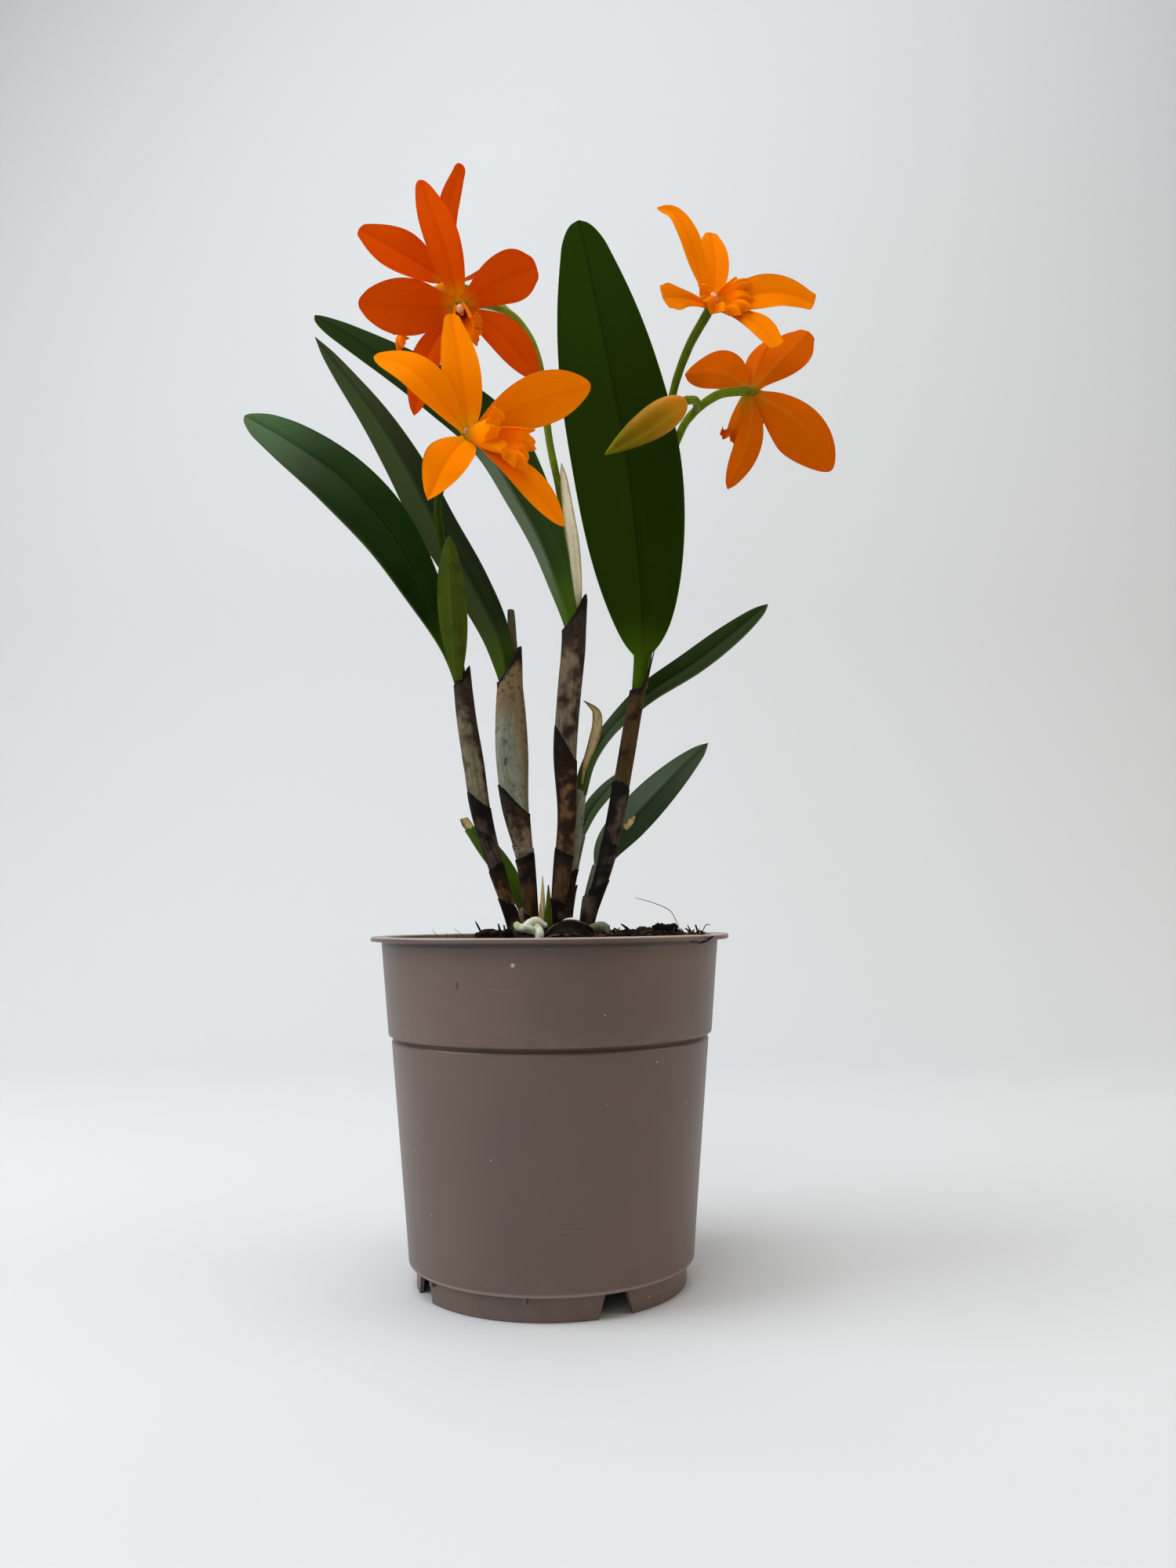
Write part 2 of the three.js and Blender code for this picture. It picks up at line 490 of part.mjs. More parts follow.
function pot() {
  const { wall } = POT;
  const body = solid(lathe([
    [0, POT.footHeight],
    [POT.footRadius - wall, POT.footHeight],
    [POT.footRadius - wall, 0],
    [POT.footRadius, 0],
    [POT.footRadius, POT.footHeight],
    [POT.heelRadius - POT.rounding, POT.footHeight + POT.rounding],
    [POT.heelRadius, POT.heelHeight],
    [POT.bellyRadius, POT.bellyHeight],
    [POT.stepRadius - POT.stepDepth, POT.stepHeight - wall],
    [POT.stepRadius, POT.stepHeight],
    [POT.topRadius, POT.height - POT.lipThickness],
    [POT.lipRadius, POT.height - POT.lipThickness],
    [POT.lipRadius, POT.height],
    [POT.topRadius - wall, POT.height],
    [POT.stepRadius - POT.stepDepth - wall, POT.stepHeight],
    [POT.bellyRadius - wall, POT.bellyHeight],
    [POT.heelRadius - wall, POT.heelHeight],
    [POT.heelRadius - wall - POT.rounding, POT.footHeight + wall],
    [0, POT.footHeight + wall],
  ]));
  const around = (count, azimuth, make) =>
    Array.from({ length: count }, (_, k) => make(azimuth + 360 * k / count));
  const notches = around(FOOT_NOTCH.count, FOOT_NOTCH.azimuth, azimuth => {
    const [low, high, top] = [FOOT_NOTCH.bottomWidth / 2, FOOT_NOTCH.topWidth / 2, FOOT_NOTCH.height];
    const corners = [[-low, -1], [low, -1], [high, top], [-high, top]];
    const shape = new THREE.Shape(corners.map(([x, y]) => new THREE.Vector2(x, y)));
    const slot = new THREE.ExtrudeGeometry(shape, { depth: FOOT_NOTCH.depth, bevelEnabled: false });
    slot.rotateX(Math.PI / 2).translate(0, FOOT_NOTCH.depth / 2 - POT.footRadius, 0);
    return solid(slot.rotateZ(THREE.MathUtils.degToRad(azimuth)));
  });
  const drains = around(DRAIN.count, 0, azimuth => {
    const hole = new THREE.CylinderGeometry(DRAIN.radius, DRAIN.radius, POT.footHeight, DRAIN.sides);
    hole.rotateX(Math.PI / 2);
    const at = outward(azimuth).multiplyScalar(DRAIN.circle);
    return solid(hole.translate(at.x, at.y, POT.footHeight));
  });
  const nubs = around(FOOT_NUB.count, FOOT_NUB.azimuth, azimuth => {
    const depth = FOOT_NUB.standsOut + FOOT_NUB.sunk;
    const nub = new THREE.BoxGeometry(FOOT_NUB.width, depth, FOOT_NUB.height + FOOT_NUB.sunk);
    const middle = POT.footHeight + (FOOT_NUB.sunk - FOOT_NUB.height) / 2;
    nub.translate(0, depth / 2 - FOOT_NUB.standsOut - POT.footRadius, middle);
    return solid(nub.rotateZ(THREE.MathUtils.degToRad(azimuth)));
  });
  return geometryFrom(cut(join([body, ...nubs]), [...notches, ...drains]));
}

// ---------------------------------------------------------------- canes and what stands in the medium

const circle = (x, y, z, radius, sides) => Array.from({ length: sides }, (_, k) => {
  const angle = 2 * Math.PI * k / sides;
  return new THREE.Vector3(x + radius * Math.cos(angle), y + radius * Math.sin(angle), z);
});

// Where a cane's middle is at a height, and its radius there.
function caneAt(stations, z) {
  const found = stations.findIndex((station, i) => i > 0 && station[2] >= z);
  const k = found < 0 ? stations.length - 1 : found;
  const [below, above] = [stations[k - 1], stations[k]];
  const t = (z - below[2]) / (above[2] - below[2]);
  return {
    x: lerp(below[0], above[0], t),
    y: lerp(below[1], above[1], t),
    radius: lerp(below[3], above[3], Math.min(t, 1)),
  };
}

function caneCore(stations, grow) {
  const rings = stations.map(([x, y, z, radius]) => circle(x, y, z, radius + grow, ROUND_SIDES));
  rings[0].forEach(p => { p.z -= grow; });
  rings.at(-1).forEach(p => { p.z += grow; });
  return solid(loft(rings));
}

// How far the oblique edge of a sheath stands above its low side.
const edgeRise = (rise, turned) => rise * ((1 + Math.cos(turned)) / 2) ** 1.5;

function sleeve(stations, [from, to, rise, azimuth]) {
  const rings = [0, 0.5, 1].map(s => Array.from({ length: ROUND_SIDES }, (_, k) => {
    const angle = 2 * Math.PI * k / ROUND_SIDES;
    const turned = angle - THREE.MathUtils.degToRad(azimuth - 90);
    const z = lerp(from, to + edgeRise(rise, turned), s);
    const { x, y, radius } = caneAt(stations, z);
    const reach = radius + lerp(SHEATH.clasp, SHEATH.flare, s);
    return new THREE.Vector3(x + reach * Math.cos(angle), y + reach * Math.sin(angle), z);
  }));
  return solid(loft(rings));
}

// The open sheath round a cane's top. The growth is on its faces and on its edges alike.
function hoodSheet(stations, [from, to, rise, azimuth], grow = 0) {
  const rows = [];
  for (let i = 0; i <= HOOD.along; i += 1) {
    const row = [];
    for (let j = 0; j <= HOOD.across; j += 1) {
      const u = 2 * j / HOOD.across - 1;
      const z = lerp(from - grow, to + grow + rise * (1 - Math.abs(u)) ** 1.5, i / HOOD.along);
      const { x, y, radius } = caneAt(stations, z);
      const reach = radius + HOOD.clasp + HOOD.flare * i / HOOD.along;
      const wraps = HOOD.wraps + THREE.MathUtils.radToDeg(grow / reach);
      const out = outward(azimuth + wraps * u).multiplyScalar(reach);
      row.push(new THREE.Vector3(x + out.x, y + out.y, z));
    }
    rows.push(row);
  }
  return solid(sheet(rows, HOOD.thickness + 2 * grow));
}

// A piece that comes up out of a cane's hood, trimmed to leave the usual gap all round.
function seated(piece, caneName) {
  if (!caneName) return geometryFrom(piece);
  const { stations, hood } = CANES[caneName];
  return geometryFrom(cut(piece, [hoodSheet(stations, hood, SEAT_GAP), caneCore(stations, SEAT_GAP)]));
}

function cane({ stations, sheaths, hood }) {
  const sleeves = sheaths.map(sheath => sleeve(stations, sheath));
  return join([caneCore(stations, 0), ...sleeves, ...(hood ? [hoodSheet(stations, hood)] : [])]);
}

const shoot = ([x, y, top, radius], grow = 0) => {
  const bottom = SHOOT_BOTTOM - grow;
  const profile = [[0, 1], [0.55, 1], [0.85, 0.6], [1, 0.25]]; // height and radius, as shares
  return solid(loft(profile.map(([s, share]) =>
    circle(x, y, lerp(bottom, top, s), share * radius + grow, ROUND_SIDES))));
};

const root = (points, grow = 0) => solid(stem({
  points: grow ? lengthened(points, grow) : points, diameter: 2 * (ROOT_RADIUS + grow),
}));

const oldSheathHollow = () => solid(blade({
  ...OLD_SHEATH,
  spine: lengthened(OLD_SHEATH.spine, GAP),
  width: OLD_SHEATH.width + 2 * GAP,
  thickness: BLADE_THICKNESS + 2 * GAP,
}));

// ---------------------------------------------------------------- the growing medium

function mediumTop(x, y, bump) {
  const slope = lerp(MEDIUM.left, MEDIUM.right, (x / POT.topRadius + 1) / 2);
  const mound = MEDIUM.mound * Math.exp(-((Math.hypot(x, y) / MEDIUM.moundRadius) ** 2));
  return slope + mound + MEDIUM.rough * bump;
}

function medium(standing) {
  const random = seeded(CHIPS.seed);
  const bottom = POT.footHeight + POT.wall + GAP;
  const levels = [bottom, POT.heelHeight, POT.bellyHeight, POT.stepHeight, MEDIUM.shoulder];
  const insideWall = z => (innerRadius(z) - GAP) * Math.cos(Math.PI / POT.sides); // clear of the wall's flats
  const rings = levels.map(z => circle(0, 0, z, insideWall(z), MEDIUM.sides));
  const rim = insideWall(MEDIUM.shoulder);
  for (let k = 0; k < MEDIUM.rings; k += 1) {
    const ring = circle(0, 0, 0, rim * (1 - k / MEDIUM.rings), MEDIUM.sides);
    rings.push(ring.map(p => new THREE.Vector3(p.x, p.y, mediumTop(p.x, p.y, 2 * random() - 1))));
  }
  const chips = Array.from({ length: CHIPS.count }, () => {
    const size = lerp(0.55, 1, random());
    const chip = new THREE.BoxGeometry(CHIPS.long * size, CHIPS.broad * size, CHIPS.thick * size);
    const lean = () => CHIPS.tilt * (2 * random() - 1);
    chip.rotateX(lean()).rotateY(lean()).rotateZ(Math.PI * random());
    const [angle, reach] = [2 * Math.PI * random(), lerp(CHIPS.inner, CHIPS.outer, Math.sqrt(random()))];
    const [x, y] = [reach * Math.cos(angle), reach * Math.sin(angle)];
    return solid(chip.translate(x, y, mediumTop(x, y, 0)));
  });
  return geometryFrom(cut(join([solid(loft(rings)), ...chips]), standing));
}

// ---------------------------------------------------------------- flowers

// The lip: a tube around the column that opens in a frilled mouth, with its slit on the upper side.
function lip(centre, axis, up, length) {
  const side = axis.clone().cross(up);
  const rows = [];
  for (let i = 0; i <= LIP.along; i += 1) {
    const s = i / LIP.along;
    const tube = Math.min(1, s / LIP.tubeShare);
    const flare = Math.max(0, (s - LIP.tubeShare) / (1 - LIP.tubeShare)) ** LIP.flare;
    const radius = lerp(LIP.throat, LIP.tube, tube) + (LIP.mouth - LIP.tube) * flare;
    const opening = THREE.MathUtils.degToRad(lerp(...LIP.wraps, s));
    const row = [];
    for (let j = 0; j <= LIP.across; j += 1) {
      const u = 2 * j / LIP.across - 1;
      const ruffle = LIP.frill * s ** 3 * Math.sin(2 * Math.PI * LIP.frills * u);
      const reach = length * s * (1 - LIP.swept * u * u) + 0.7 * ruffle;
      const spread = radius + 0.6 * ruffle;
      row.push(centre.clone().addScaledVector(axis, reach)
        .addScaledVector(up, -Math.cos(opening * u) * spread)
        .addScaledVector(side, Math.sin(opening * u) * spread));
    }
    rows.push(row);
  }
  return solid(sheet(rows, BLADE_THICKNESS));
}

function column(centre, axis, up) {
  const turn = new THREE.Quaternion().setFromUnitVectors(new THREE.Vector3(0, 0, 1), axis);
  const rings = COLUMN.profile.map(([s, share]) =>
    circle(0, 0, s * COLUMN.length, share * COLUMN.radius, ROUND_SIDES).map(p =>
      p.applyQuaternion(turn).add(centre).addScaledVector(up, COLUMN.raised * s)));
  return solid(loft(rings));
}

function flower({ at, tepals, lip: mouth }) {
  const centre = point(at);
  const axis = point(mouth).sub(centre);
  const length = axis.length();
  axis.normalize();
  const up = point(tepals[0].spine.at(-1)).sub(centre);
  up.addScaledVector(axis, -up.dot(axis)).normalize();
  const petals = tepals.map(({ spine, width, faces }) => {
    const start = point(spine[0]).sub(centre).setLength(TEPAL_START).add(centre).toArray();
    return solid(blade({ spine: [start, ...spine], faces: [faces, faces], width, ...TEPAL }));
  });
  const hub = solid(new THREE.SphereGeometry(HUB_RADIUS, 8, 6).translate(...at));
  return geometryFrom(join([hub, ...petals, lip(centre, axis, up, length), column(centre, axis, up)]));
}

function bud() {
  const [base, tip] = [point(BUD.base), point(BUD.tip)];
  const axis = tip.clone().sub(base);
  const length = axis.length();
  const turn = new THREE.Quaternion().setFromUnitVectors(new THREE.Vector3(0, 0, 1), axis.normalize());
  const skew = Math.log(0.5) / Math.log(BUD.peak);
  const rings = Array.from({ length: BUD.rings }, (_, i) => {
    const s = lerp(0.03, 0.985, i / (BUD.rings - 1));
    const swell = BUD.radius * Math.sin(Math.PI * s ** skew) ** 0.85;
    return circle(0, 0, s * length, swell, BUD.sides).map((p, k) => {
      const ridge = 1 + BUD.ridge * Math.cos(3 * 2 * Math.PI * k / BUD.sides); // three sepals, edge to edge
      return new THREE.Vector3(p.x * ridge, p.y * ridge, p.z).applyQuaternion(turn).add(base);
    });
  });
  return loft(rings);
}

// ---------------------------------------------------------------- the whole plant

const plant = new THREE.Group();
const add = (name, geometry, material) => {
  const mesh = new THREE.Mesh(geometry, material);
  mesh.name = name;
  plant.add(mesh);
};

add('pot', pot(), MATERIALS.pot);
add('growing_medium', medium([
  ...Object.values(CANES).map(({ stations }) => caneCore(stations, HOLE_GAP)),
  ...Object.values(SHOOTS).map(spec => shoot(spec, GAP)),
  ...ROOTS.map(points => root(points, GAP)),
  oldSheathHollow(),
]), MATERIALS.medium);

for (const [name, spec] of Object.entries(CANES)) add(name, geometryFrom(cane(spec)), MATERIALS[spec.bark]);
for (const [name, spec] of Object.entries(LEAVES)) {
  add(name, seated(solid(blade(spec)), spec.on), MATERIALS.leaf);
}
for (const [name, spec] of Object.entries(SPATHES)) {
  add(name, seated(solid(blade(spec)), spec.on), spec.fresh ? MATERIALS.fresh : MATERIALS.dry);
}
for (const [name, { on, branches }] of Object.entries(STALKS)) {
  add(name, seated(join(branches.map(branch => solid(stem(branch)))), on), MATERIALS.stalk);
}
for (const [name, spec] of Object.entries(FLOWERS)) add(name, flower(spec), MATERIALS[spec.hue]);
add('bud', bud(), MATERIALS.bud);
add('roots_left', geometryFrom(join(ROOTS.slice(0, 2).map(points => root(points)))), MATERIALS.root);
add('root_right', geometryFrom(root(ROOTS[2])), MATERIALS.root);
add('shoot_cream', geometryFrom(shoot(SHOOTS.shoot_cream)), MATERIALS.dry);
add('shoot_green', geometryFrom(shoot(SHOOTS.shoot_green)), MATERIALS.fresh);
add('old_sheath', blade(OLD_SHEATH), MATERIALS.black);

export default plant;
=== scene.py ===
# %% [markdown]
# # A cattleya orchid in its nursery pot
#
# A cattleya is a perching orchid. It creeps along on a buried rhizome and lifts one cane after another, each
# with a leaf on top and papery sheaths round it. This one stands in bark, in a thin moulded pot.
#
# The solid model already gives each piece its place and size, in millimetres from the middle of the pot's
# foot. This lesson grows a finer piece over each solid: leaves with veins, sheaths with torn edges, petals
# that thin out to their rims. Every form is a grid of points worked out by numpy, because a plant's parts
# are all strips and tubes along a curve, and a grid keeps track of where on the leaf or petal each point
# lies. The materials then use that to draw veins, midribs and margins without any picture.

# %% The tools and the solid model
import functools
import math

import bpy
import numpy as np
from mathutils import Matrix, Vector


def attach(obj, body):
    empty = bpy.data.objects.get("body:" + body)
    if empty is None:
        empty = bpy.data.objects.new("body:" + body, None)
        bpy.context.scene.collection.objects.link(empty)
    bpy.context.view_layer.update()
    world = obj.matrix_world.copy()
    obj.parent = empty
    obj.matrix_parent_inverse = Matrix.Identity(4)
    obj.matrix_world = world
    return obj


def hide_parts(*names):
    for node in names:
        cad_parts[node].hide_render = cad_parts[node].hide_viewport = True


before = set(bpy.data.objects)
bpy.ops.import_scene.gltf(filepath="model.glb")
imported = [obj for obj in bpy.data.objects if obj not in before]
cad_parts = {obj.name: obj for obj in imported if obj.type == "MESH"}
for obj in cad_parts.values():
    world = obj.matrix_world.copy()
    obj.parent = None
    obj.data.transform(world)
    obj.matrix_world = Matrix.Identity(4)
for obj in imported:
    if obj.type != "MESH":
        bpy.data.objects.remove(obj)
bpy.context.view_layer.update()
MM = 0.001

# %% [markdown]
# ## The camera
#
# A portrait of a pot plant is taken from just above the rim, close and slightly upward. A wide lens near the
# plant makes the pot look full and the leaves lean back, which a long lens from far off would flatten.

# %% The camera
CAMERA_AT = (0.0133, -0.402, 0.1182)
CAMERA_LOOKS_UP = math.radians(6.36)
CAMERA_LEANS = math.radians(-0.55)
LENS_MM = 27

camera = bpy.data.objects.new("camera", bpy.data.cameras.new("camera"))
camera.data.lens = LENS_MM
camera.data.clip_start = 0.01
aim = Matrix.Rotation(math.pi / 2 + CAMERA_LOOKS_UP, 4, "X") @ Matrix.Rotation(CAMERA_LEANS, 4, "Z")
camera.matrix_world = Matrix.Translation(CAMERA_AT) @ aim
bpy.context.scene.collection.objects.link(camera)
bpy.context.scene.camera = camera
bpy.context.scene.view_settings.view_transform = "Standard"  # keeps strong oranges strong
print("camera:", CAMERA_AT, "lens", LENS_MM, "mm")

# %% [markdown]
# ## Nodes, colours and scales
#
# Each finish below is a small tree of shader nodes. One function adds a node, sets it and links it, so that a
# tree reads from top to bottom. Colours are written as the hex values that a paint chart gives, and turned
# linear here, because the renderer counts light and not paint. A pattern's scale is how many of its features
# fit in a metre, so `per(0.9)` means one every 0.9 mm.
#
# A few patterns of nodes come back in nearly every finish: a colour laid over another where some value
# rises, the same in clouds of noise, and fine relief from noise. Each of those has a short function of its
# own.

# %% Nodes, colours and scales
def colour(code):
    """The linear red, green, blue and alpha of an sRGB hex value."""
    values = [int(code[k:k + 2], 16) / 255 for k in (1, 3, 5)]
    return (*[v / 12.92 if v <= 0.04045 else ((v + 0.055) / 1.055) ** 2.4 for v in values], 1.0)


def per(size_mm):
    """How many features of this size fit in a metre."""
    return 1 / (size_mm * MM)


def add_node(tree, kind, inputs=None, **settings):
    """Adds a node. `inputs` holds numbers, colours, sockets, or nodes whose first output in use is linked."""
    node = tree.nodes.new("ShaderNode" + kind)
    if kind == "Mix":
        node.data_type = "RGBA"  # every mix here is of colours
    for key, value in settings.items():
        setattr(node, key, value)
    for key, value in (inputs or {}).items():
        found = [s for s in node.inputs if s.enabled and s.name == key]
        socket = node.inputs[key] if isinstance(key, int) else found[0]
        if isinstance(value, bpy.types.Node):
            value = next(s for s in value.outputs if s.enabled)
        if isinstance(value, bpy.types.NodeSocket):
            tree.links.new(value, socket)
        else:
            socket.default_value = value
    return node


def new_material(name):
    """An empty material, and `add_node` for its tree."""
    material = bpy.data.materials.new(name)
    material.use_nodes = True
    material.node_tree.nodes.clear()
    return material, functools.partial(add_node, material.node_tree)


def with_surface(material, add, sockets):
    """Ends a material in one surface with these settings."""
    surface = add("BsdfPrincipled", sockets)
    add("OutputMaterial", {"Surface": surface})
    return material


def read_facts(add, *facts):
    """Where a point lies in the plant's own space, and these facts about it."""
    place = add("TexCoord").outputs["Object"]
    return place, *(add("Attribute", attribute_name=fact).outputs["Fac"] for fact in facts)


def laid_over(add, under, code, value, start, end, most=1.0, soft=False):
    """A colour over another: none of it where a value is `start`, and the share `most` where it is `end`."""
    share = add("MapRange", {"Value": value, "From Min": start, "From Max": end, "To Max": most},
                interpolation_type="SMOOTHSTEP" if soft else "LINEAR")
    return add("Mix", {"Factor": share, "A": under, "B": colour(code)})


def clouded(add, place, under, code, size_mm, detail, start, end, most=1.0):
    """A colour over another in clouds of one size."""
    cloud = add("TexNoise", {"Vector": place, "Scale": per(size_mm), "Detail": detail})
    return laid_over(add, under, code, cloud, start, end, most)


def grained(add, place, size_mm, detail, strength, deep_mm, under=None):
    """Fine relief of one size, on top of a coarser relief if there is one."""
    grain = add("TexNoise", {"Vector": place, "Scale": per(size_mm), "Detail": detail})
    coarser = {} if under is None else {"Normal": under}
    return add("Bump", {"Height": grain, "Strength": strength, "Distance": deep_mm * MM, **coarser})


print("a 0.9 mm vein spacing is", round(per(0.9)), "to the metre")

# %% [markdown]
# ## The studio
#
# The plant stands on a pale paper sweep that curves up behind it, with no corner to draw the eye. Most light
# is broad and soft: petals are thin and glow in it, and waxy leaves pick up long quiet highlights instead of
# spots. Two tall panels at the sides give the pot its paler edges, and a weak one in front keeps the middle
# readable.

# %% The studio
SWEEP = {"front": -2.4, "bend": 0.55, "radius": 0.5, "top": 3.0, "half_width": 3.0}
BEND_STEPS = 16


def paper_material():
    # Matt seamless paper: a soft tooth that no light glints on.
    material, add = new_material("seamless_paper_matt")
    tooth = add("TexNoise", {"Scale": per(2), "Detail": 4.0})
    cloud = add("TexNoise", {"Scale": per(600), "Detail": 2.0})
    shade = add("Mix", {"Factor": cloud, "A": colour("#d0d5d8"), "B": colour("#d8dbdd")})
    bump = add("Bump", {"Height": tooth, "Strength": 0.08, "Distance": 0.2 * MM})
    return with_surface(material, add, {"Base Color": shade, "Roughness": 0.92, "IOR": 1.45, "Normal": bump})


def paper_sweep():
    line = [(SWEEP["front"], 0.0), (SWEEP["bend"], 0.0)]
    for k in range(1, BEND_STEPS + 1):
        turn = math.pi / 2 * k / BEND_STEPS
        line.append((SWEEP["bend"] + SWEEP["radius"] * math.sin(turn),
                     SWEEP["radius"] * (1 - math.cos(turn))))
    line.append((SWEEP["bend"] + SWEEP["radius"], SWEEP["top"]))
    points = [(x, y, z) for y, z in line for x in (-SWEEP["half_width"], SWEEP["half_width"])]
    faces = [(2 * k, 2 * k + 1, 2 * k + 3, 2 * k + 2) for k in range(len(line) - 1)]
    mesh = bpy.data.meshes.new("paper_sweep")
    mesh.from_pydata(points, [], faces)
    mesh.materials.append(paper_material())
    mesh.shade_smooth()
    sweep = bpy.data.objects.new("paper_sweep", mesh)
    bpy.context.scene.collection.objects.link(sweep)
    return sweep


def soft_panel(name, at, towards, size, watts, tint):
    """A square light panel that faces a point."""
    lamp = bpy.data.lights.new(name, "AREA")
    lamp.size = size
    lamp.energy = watts
    lamp.color = colour(tint)[:3]
    panel = bpy.data.objects.new(name, lamp)
    panel.location = at
    panel.rotation_euler = (Vector(towards) - Vector(at)).to_track_quat("-Z", "Y").to_euler()
    bpy.context.scene.collection.objects.link(panel)


paper_sweep()
PLANT_MIDDLE = (0, 0, 0.22)
for name, at, towards, size, watts, tint in (
        ("panel_left", (-1.1, -0.25, 0.8), PLANT_MIDDLE, 0.9, 10.5, "#fbfaff"),
        ("panel_right", (1.15, -0.1, 0.5), PLANT_MIDDLE, 0.9, 4.4, "#ffe0bd"),
        ("panel_above", (-0.25, -0.3, 1.5), PLANT_MIDDLE, 1.1, 12, "#ffffff"),
        ("panel_front", (-0.5, -1.5, 0.6), PLANT_MIDDLE, 1.0, 3.4, "#fff8f0"),
        ("panel_behind", (0.2, 0.45, 1.7), (0, 1.05, 0.7), 1.6, 6.9, "#fffefa")):
    soft_panel(name, at, towards, size, watts, tint)

world = bpy.data.worlds.new("studio_air")
bpy.context.scene.world = world
world.use_nodes = True
world.node_tree.nodes["Background"].inputs["Color"].default_value = colour("#eceff2")
world.node_tree.nodes["Background"].inputs["Strength"].default_value = 0.24
print("studio: 5 panels and a paper sweep")

# %% [markdown]
# ## Curves and grids
#
# A leaf, a petal and a root all follow a smooth line through a few chosen points. Blender's own curve objects
# could do that, but then the mesh wouldn't know how far along the leaf each point is. So the line is worked
# out here as a centripetal Catmull-Rom curve, which passes through its points and never loops between close
# ones. A form is a set of points and faces, with a few facts about each point: how far along and across it
# lies, how far from the margin, whether it is on the underside, and a tone of its own. The finishes read
# those facts.

# %% Curves and grids
CURVE_STEPS = 48  # straight bits between two chosen points
FACTS = ("along", "across", "share", "edge", "under", "tone")


def smooth_line(points):
    """The dense curve through the points, in any number of dimensions."""
    p = np.array(points, float)
    p = np.vstack([2 * p[0] - p[1], p, 2 * p[-1] - p[-2]])
    s = np.linspace(0, 1, CURVE_STEPS, endpoint=False)[:, None]
    bits = []
    for a, b, c, d in zip(p, p[1:], p[2:], p[3:]):
        ab, bc, cd = (math.sqrt(np.linalg.norm(q)) for q in (b - a, c - b, d - c))
        leave = ((b - a) / ab - (c - a) / (ab + bc) + (c - b) / bc) * bc
        arrive = ((c - b) / bc - (d - b) / (bc + cd) + (d - c) / cd) * bc
        bend = 3 * (c - b) - 2 * leave - arrive
        bits.append(b + s * leave + s ** 2 * bend + s ** 3 * (2 * (b - c) + leave + arrive))
    return np.vstack([*bits, p[-2:-1]])


def line_at(points, shares):
    """Points on the curve at these shares of its length, and its whole length."""
    dense = smooth_line(points)
    reach = np.concatenate([[0], np.cumsum(np.linalg.norm(np.diff(dense[:, :3], axis=0), axis=1))])
    at = np.asarray(shares) * reach[-1]
    return np.column_stack([np.interp(at, reach, dense[:, k]) for k in range(dense.shape[1])]), reach[-1]


def unit(v):
    return v / np.maximum(np.linalg.norm(v, axis=-1, keepdims=True), 1e-9)


def eased(t):
    """0 to 1 with a soft start and end."""
    t = np.clip(t, 0, 1)
    return t * t * (3 - 2 * t)


def grid_faces(rows, columns, round_rows=False, round_columns=False, first=0):
    """Four-sided faces over a grid. A round one closes on itself that way."""
    i, j = np.meshgrid(np.arange(rows if round_rows else rows - 1),
                       np.arange(columns if round_columns else columns - 1), indexing="ij")
    i2, j2 = (i + 1) % rows, (j + 1) % columns
    quads = np.stack([i * columns + j, i * columns + j2, i2 * columns + j2, i2 * columns + j], -1)
    return quads.reshape(-1, 4) + first


def capped_faces(rows, sides):
    """Faces over rings of points, with a flat cap at either end."""
    first, last = range(sides), range((rows - 1) * sides, rows * sides)
    return [*grid_faces(rows, sides, round_columns=True), tuple(first)[::-1], tuple(last)]


def full_turn(sides):
    """Even angles once round, without the last one."""
    return np.linspace(0, 2 * np.pi, sides, endpoint=False)


def form(points, faces, finish, **facts):
    """Points in mm, faces and a finish, with facts that are one number or one for each point."""
    points = np.asarray(points, float).reshape(-1, 3)
    known = {name: np.broadcast_to(np.asarray(facts.get(name, 0.0), float).ravel(), len(points))
             for name in FACTS}
    return {"points": points, "faces": [tuple(f) for f in faces], "finish": finish, "facts": known}


def volume(points, faces):
    """Six times the signed volume inside the faces."""
    total = 0.0
    for size in {len(f) for f in faces}:
        corners = points[np.array([f for f in faces if len(f) == size])]
        for k in range(1, size - 1):
            total += np.einsum("ij,ij->", corners[:, 0], np.cross(corners[:, k], corners[:, k + 1]))
    return total


def make_piece(name, forms, nodes):
    """One object from several closed forms. It rides with the plant and stands for its solids."""
    points, faces, finish_of_face, start = [], [], [], 0
    finishes = []
    for item in forms:
        if item["finish"] not in finishes:
            finishes.append(item["finish"])
        outward = volume(item["points"], item["faces"]) > 0
        for face in item["faces"]:
            faces.append([start + k for k in (face if outward else face[::-1])])
        finish_of_face += [finishes.index(item["finish"])] * len(item["faces"])
        points.append(item["points"])
        start += len(item["points"])
    mesh = bpy.data.meshes.new(name)
    mesh.from_pydata(np.vstack(points) * MM, [], faces)
    for finish in finishes:
        mesh.materials.append(finish)
    mesh.polygons.foreach_set("material_index", finish_of_face)
    for fact in FACTS:
        values = np.concatenate([item["facts"][fact] for item in forms])
        mesh.attributes.new(fact, "FLOAT", "POINT").data.foreach_set("value", values.astype(np.float32))
    mesh.shade_smooth()
    piece = bpy.data.objects.new(name, mesh)
    bpy.context.scene.collection.objects.link(piece)
    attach(piece, "root")
    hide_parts(*nodes)
    print(f"{name}: {len(forms)} forms, {len(faces)} faces")
    return piece


print("facts of a point:", ", ".join(FACTS))

# %% [markdown]
# ## Sheets, blades and tubes
#
# Three kinds of form make the whole plant. A sheet has an upper and an under face that meet round its rim,
# and it thins out towards the rim as a living leaf does. A blade is a sheet along a curve, with a midrib,
# folded halves and waves along its margins. A tube follows a curve too, and its ends are rounded off. A
# plain plane with a Solidify modifier would be quicker, but it would be as thick at the rim as in the middle.

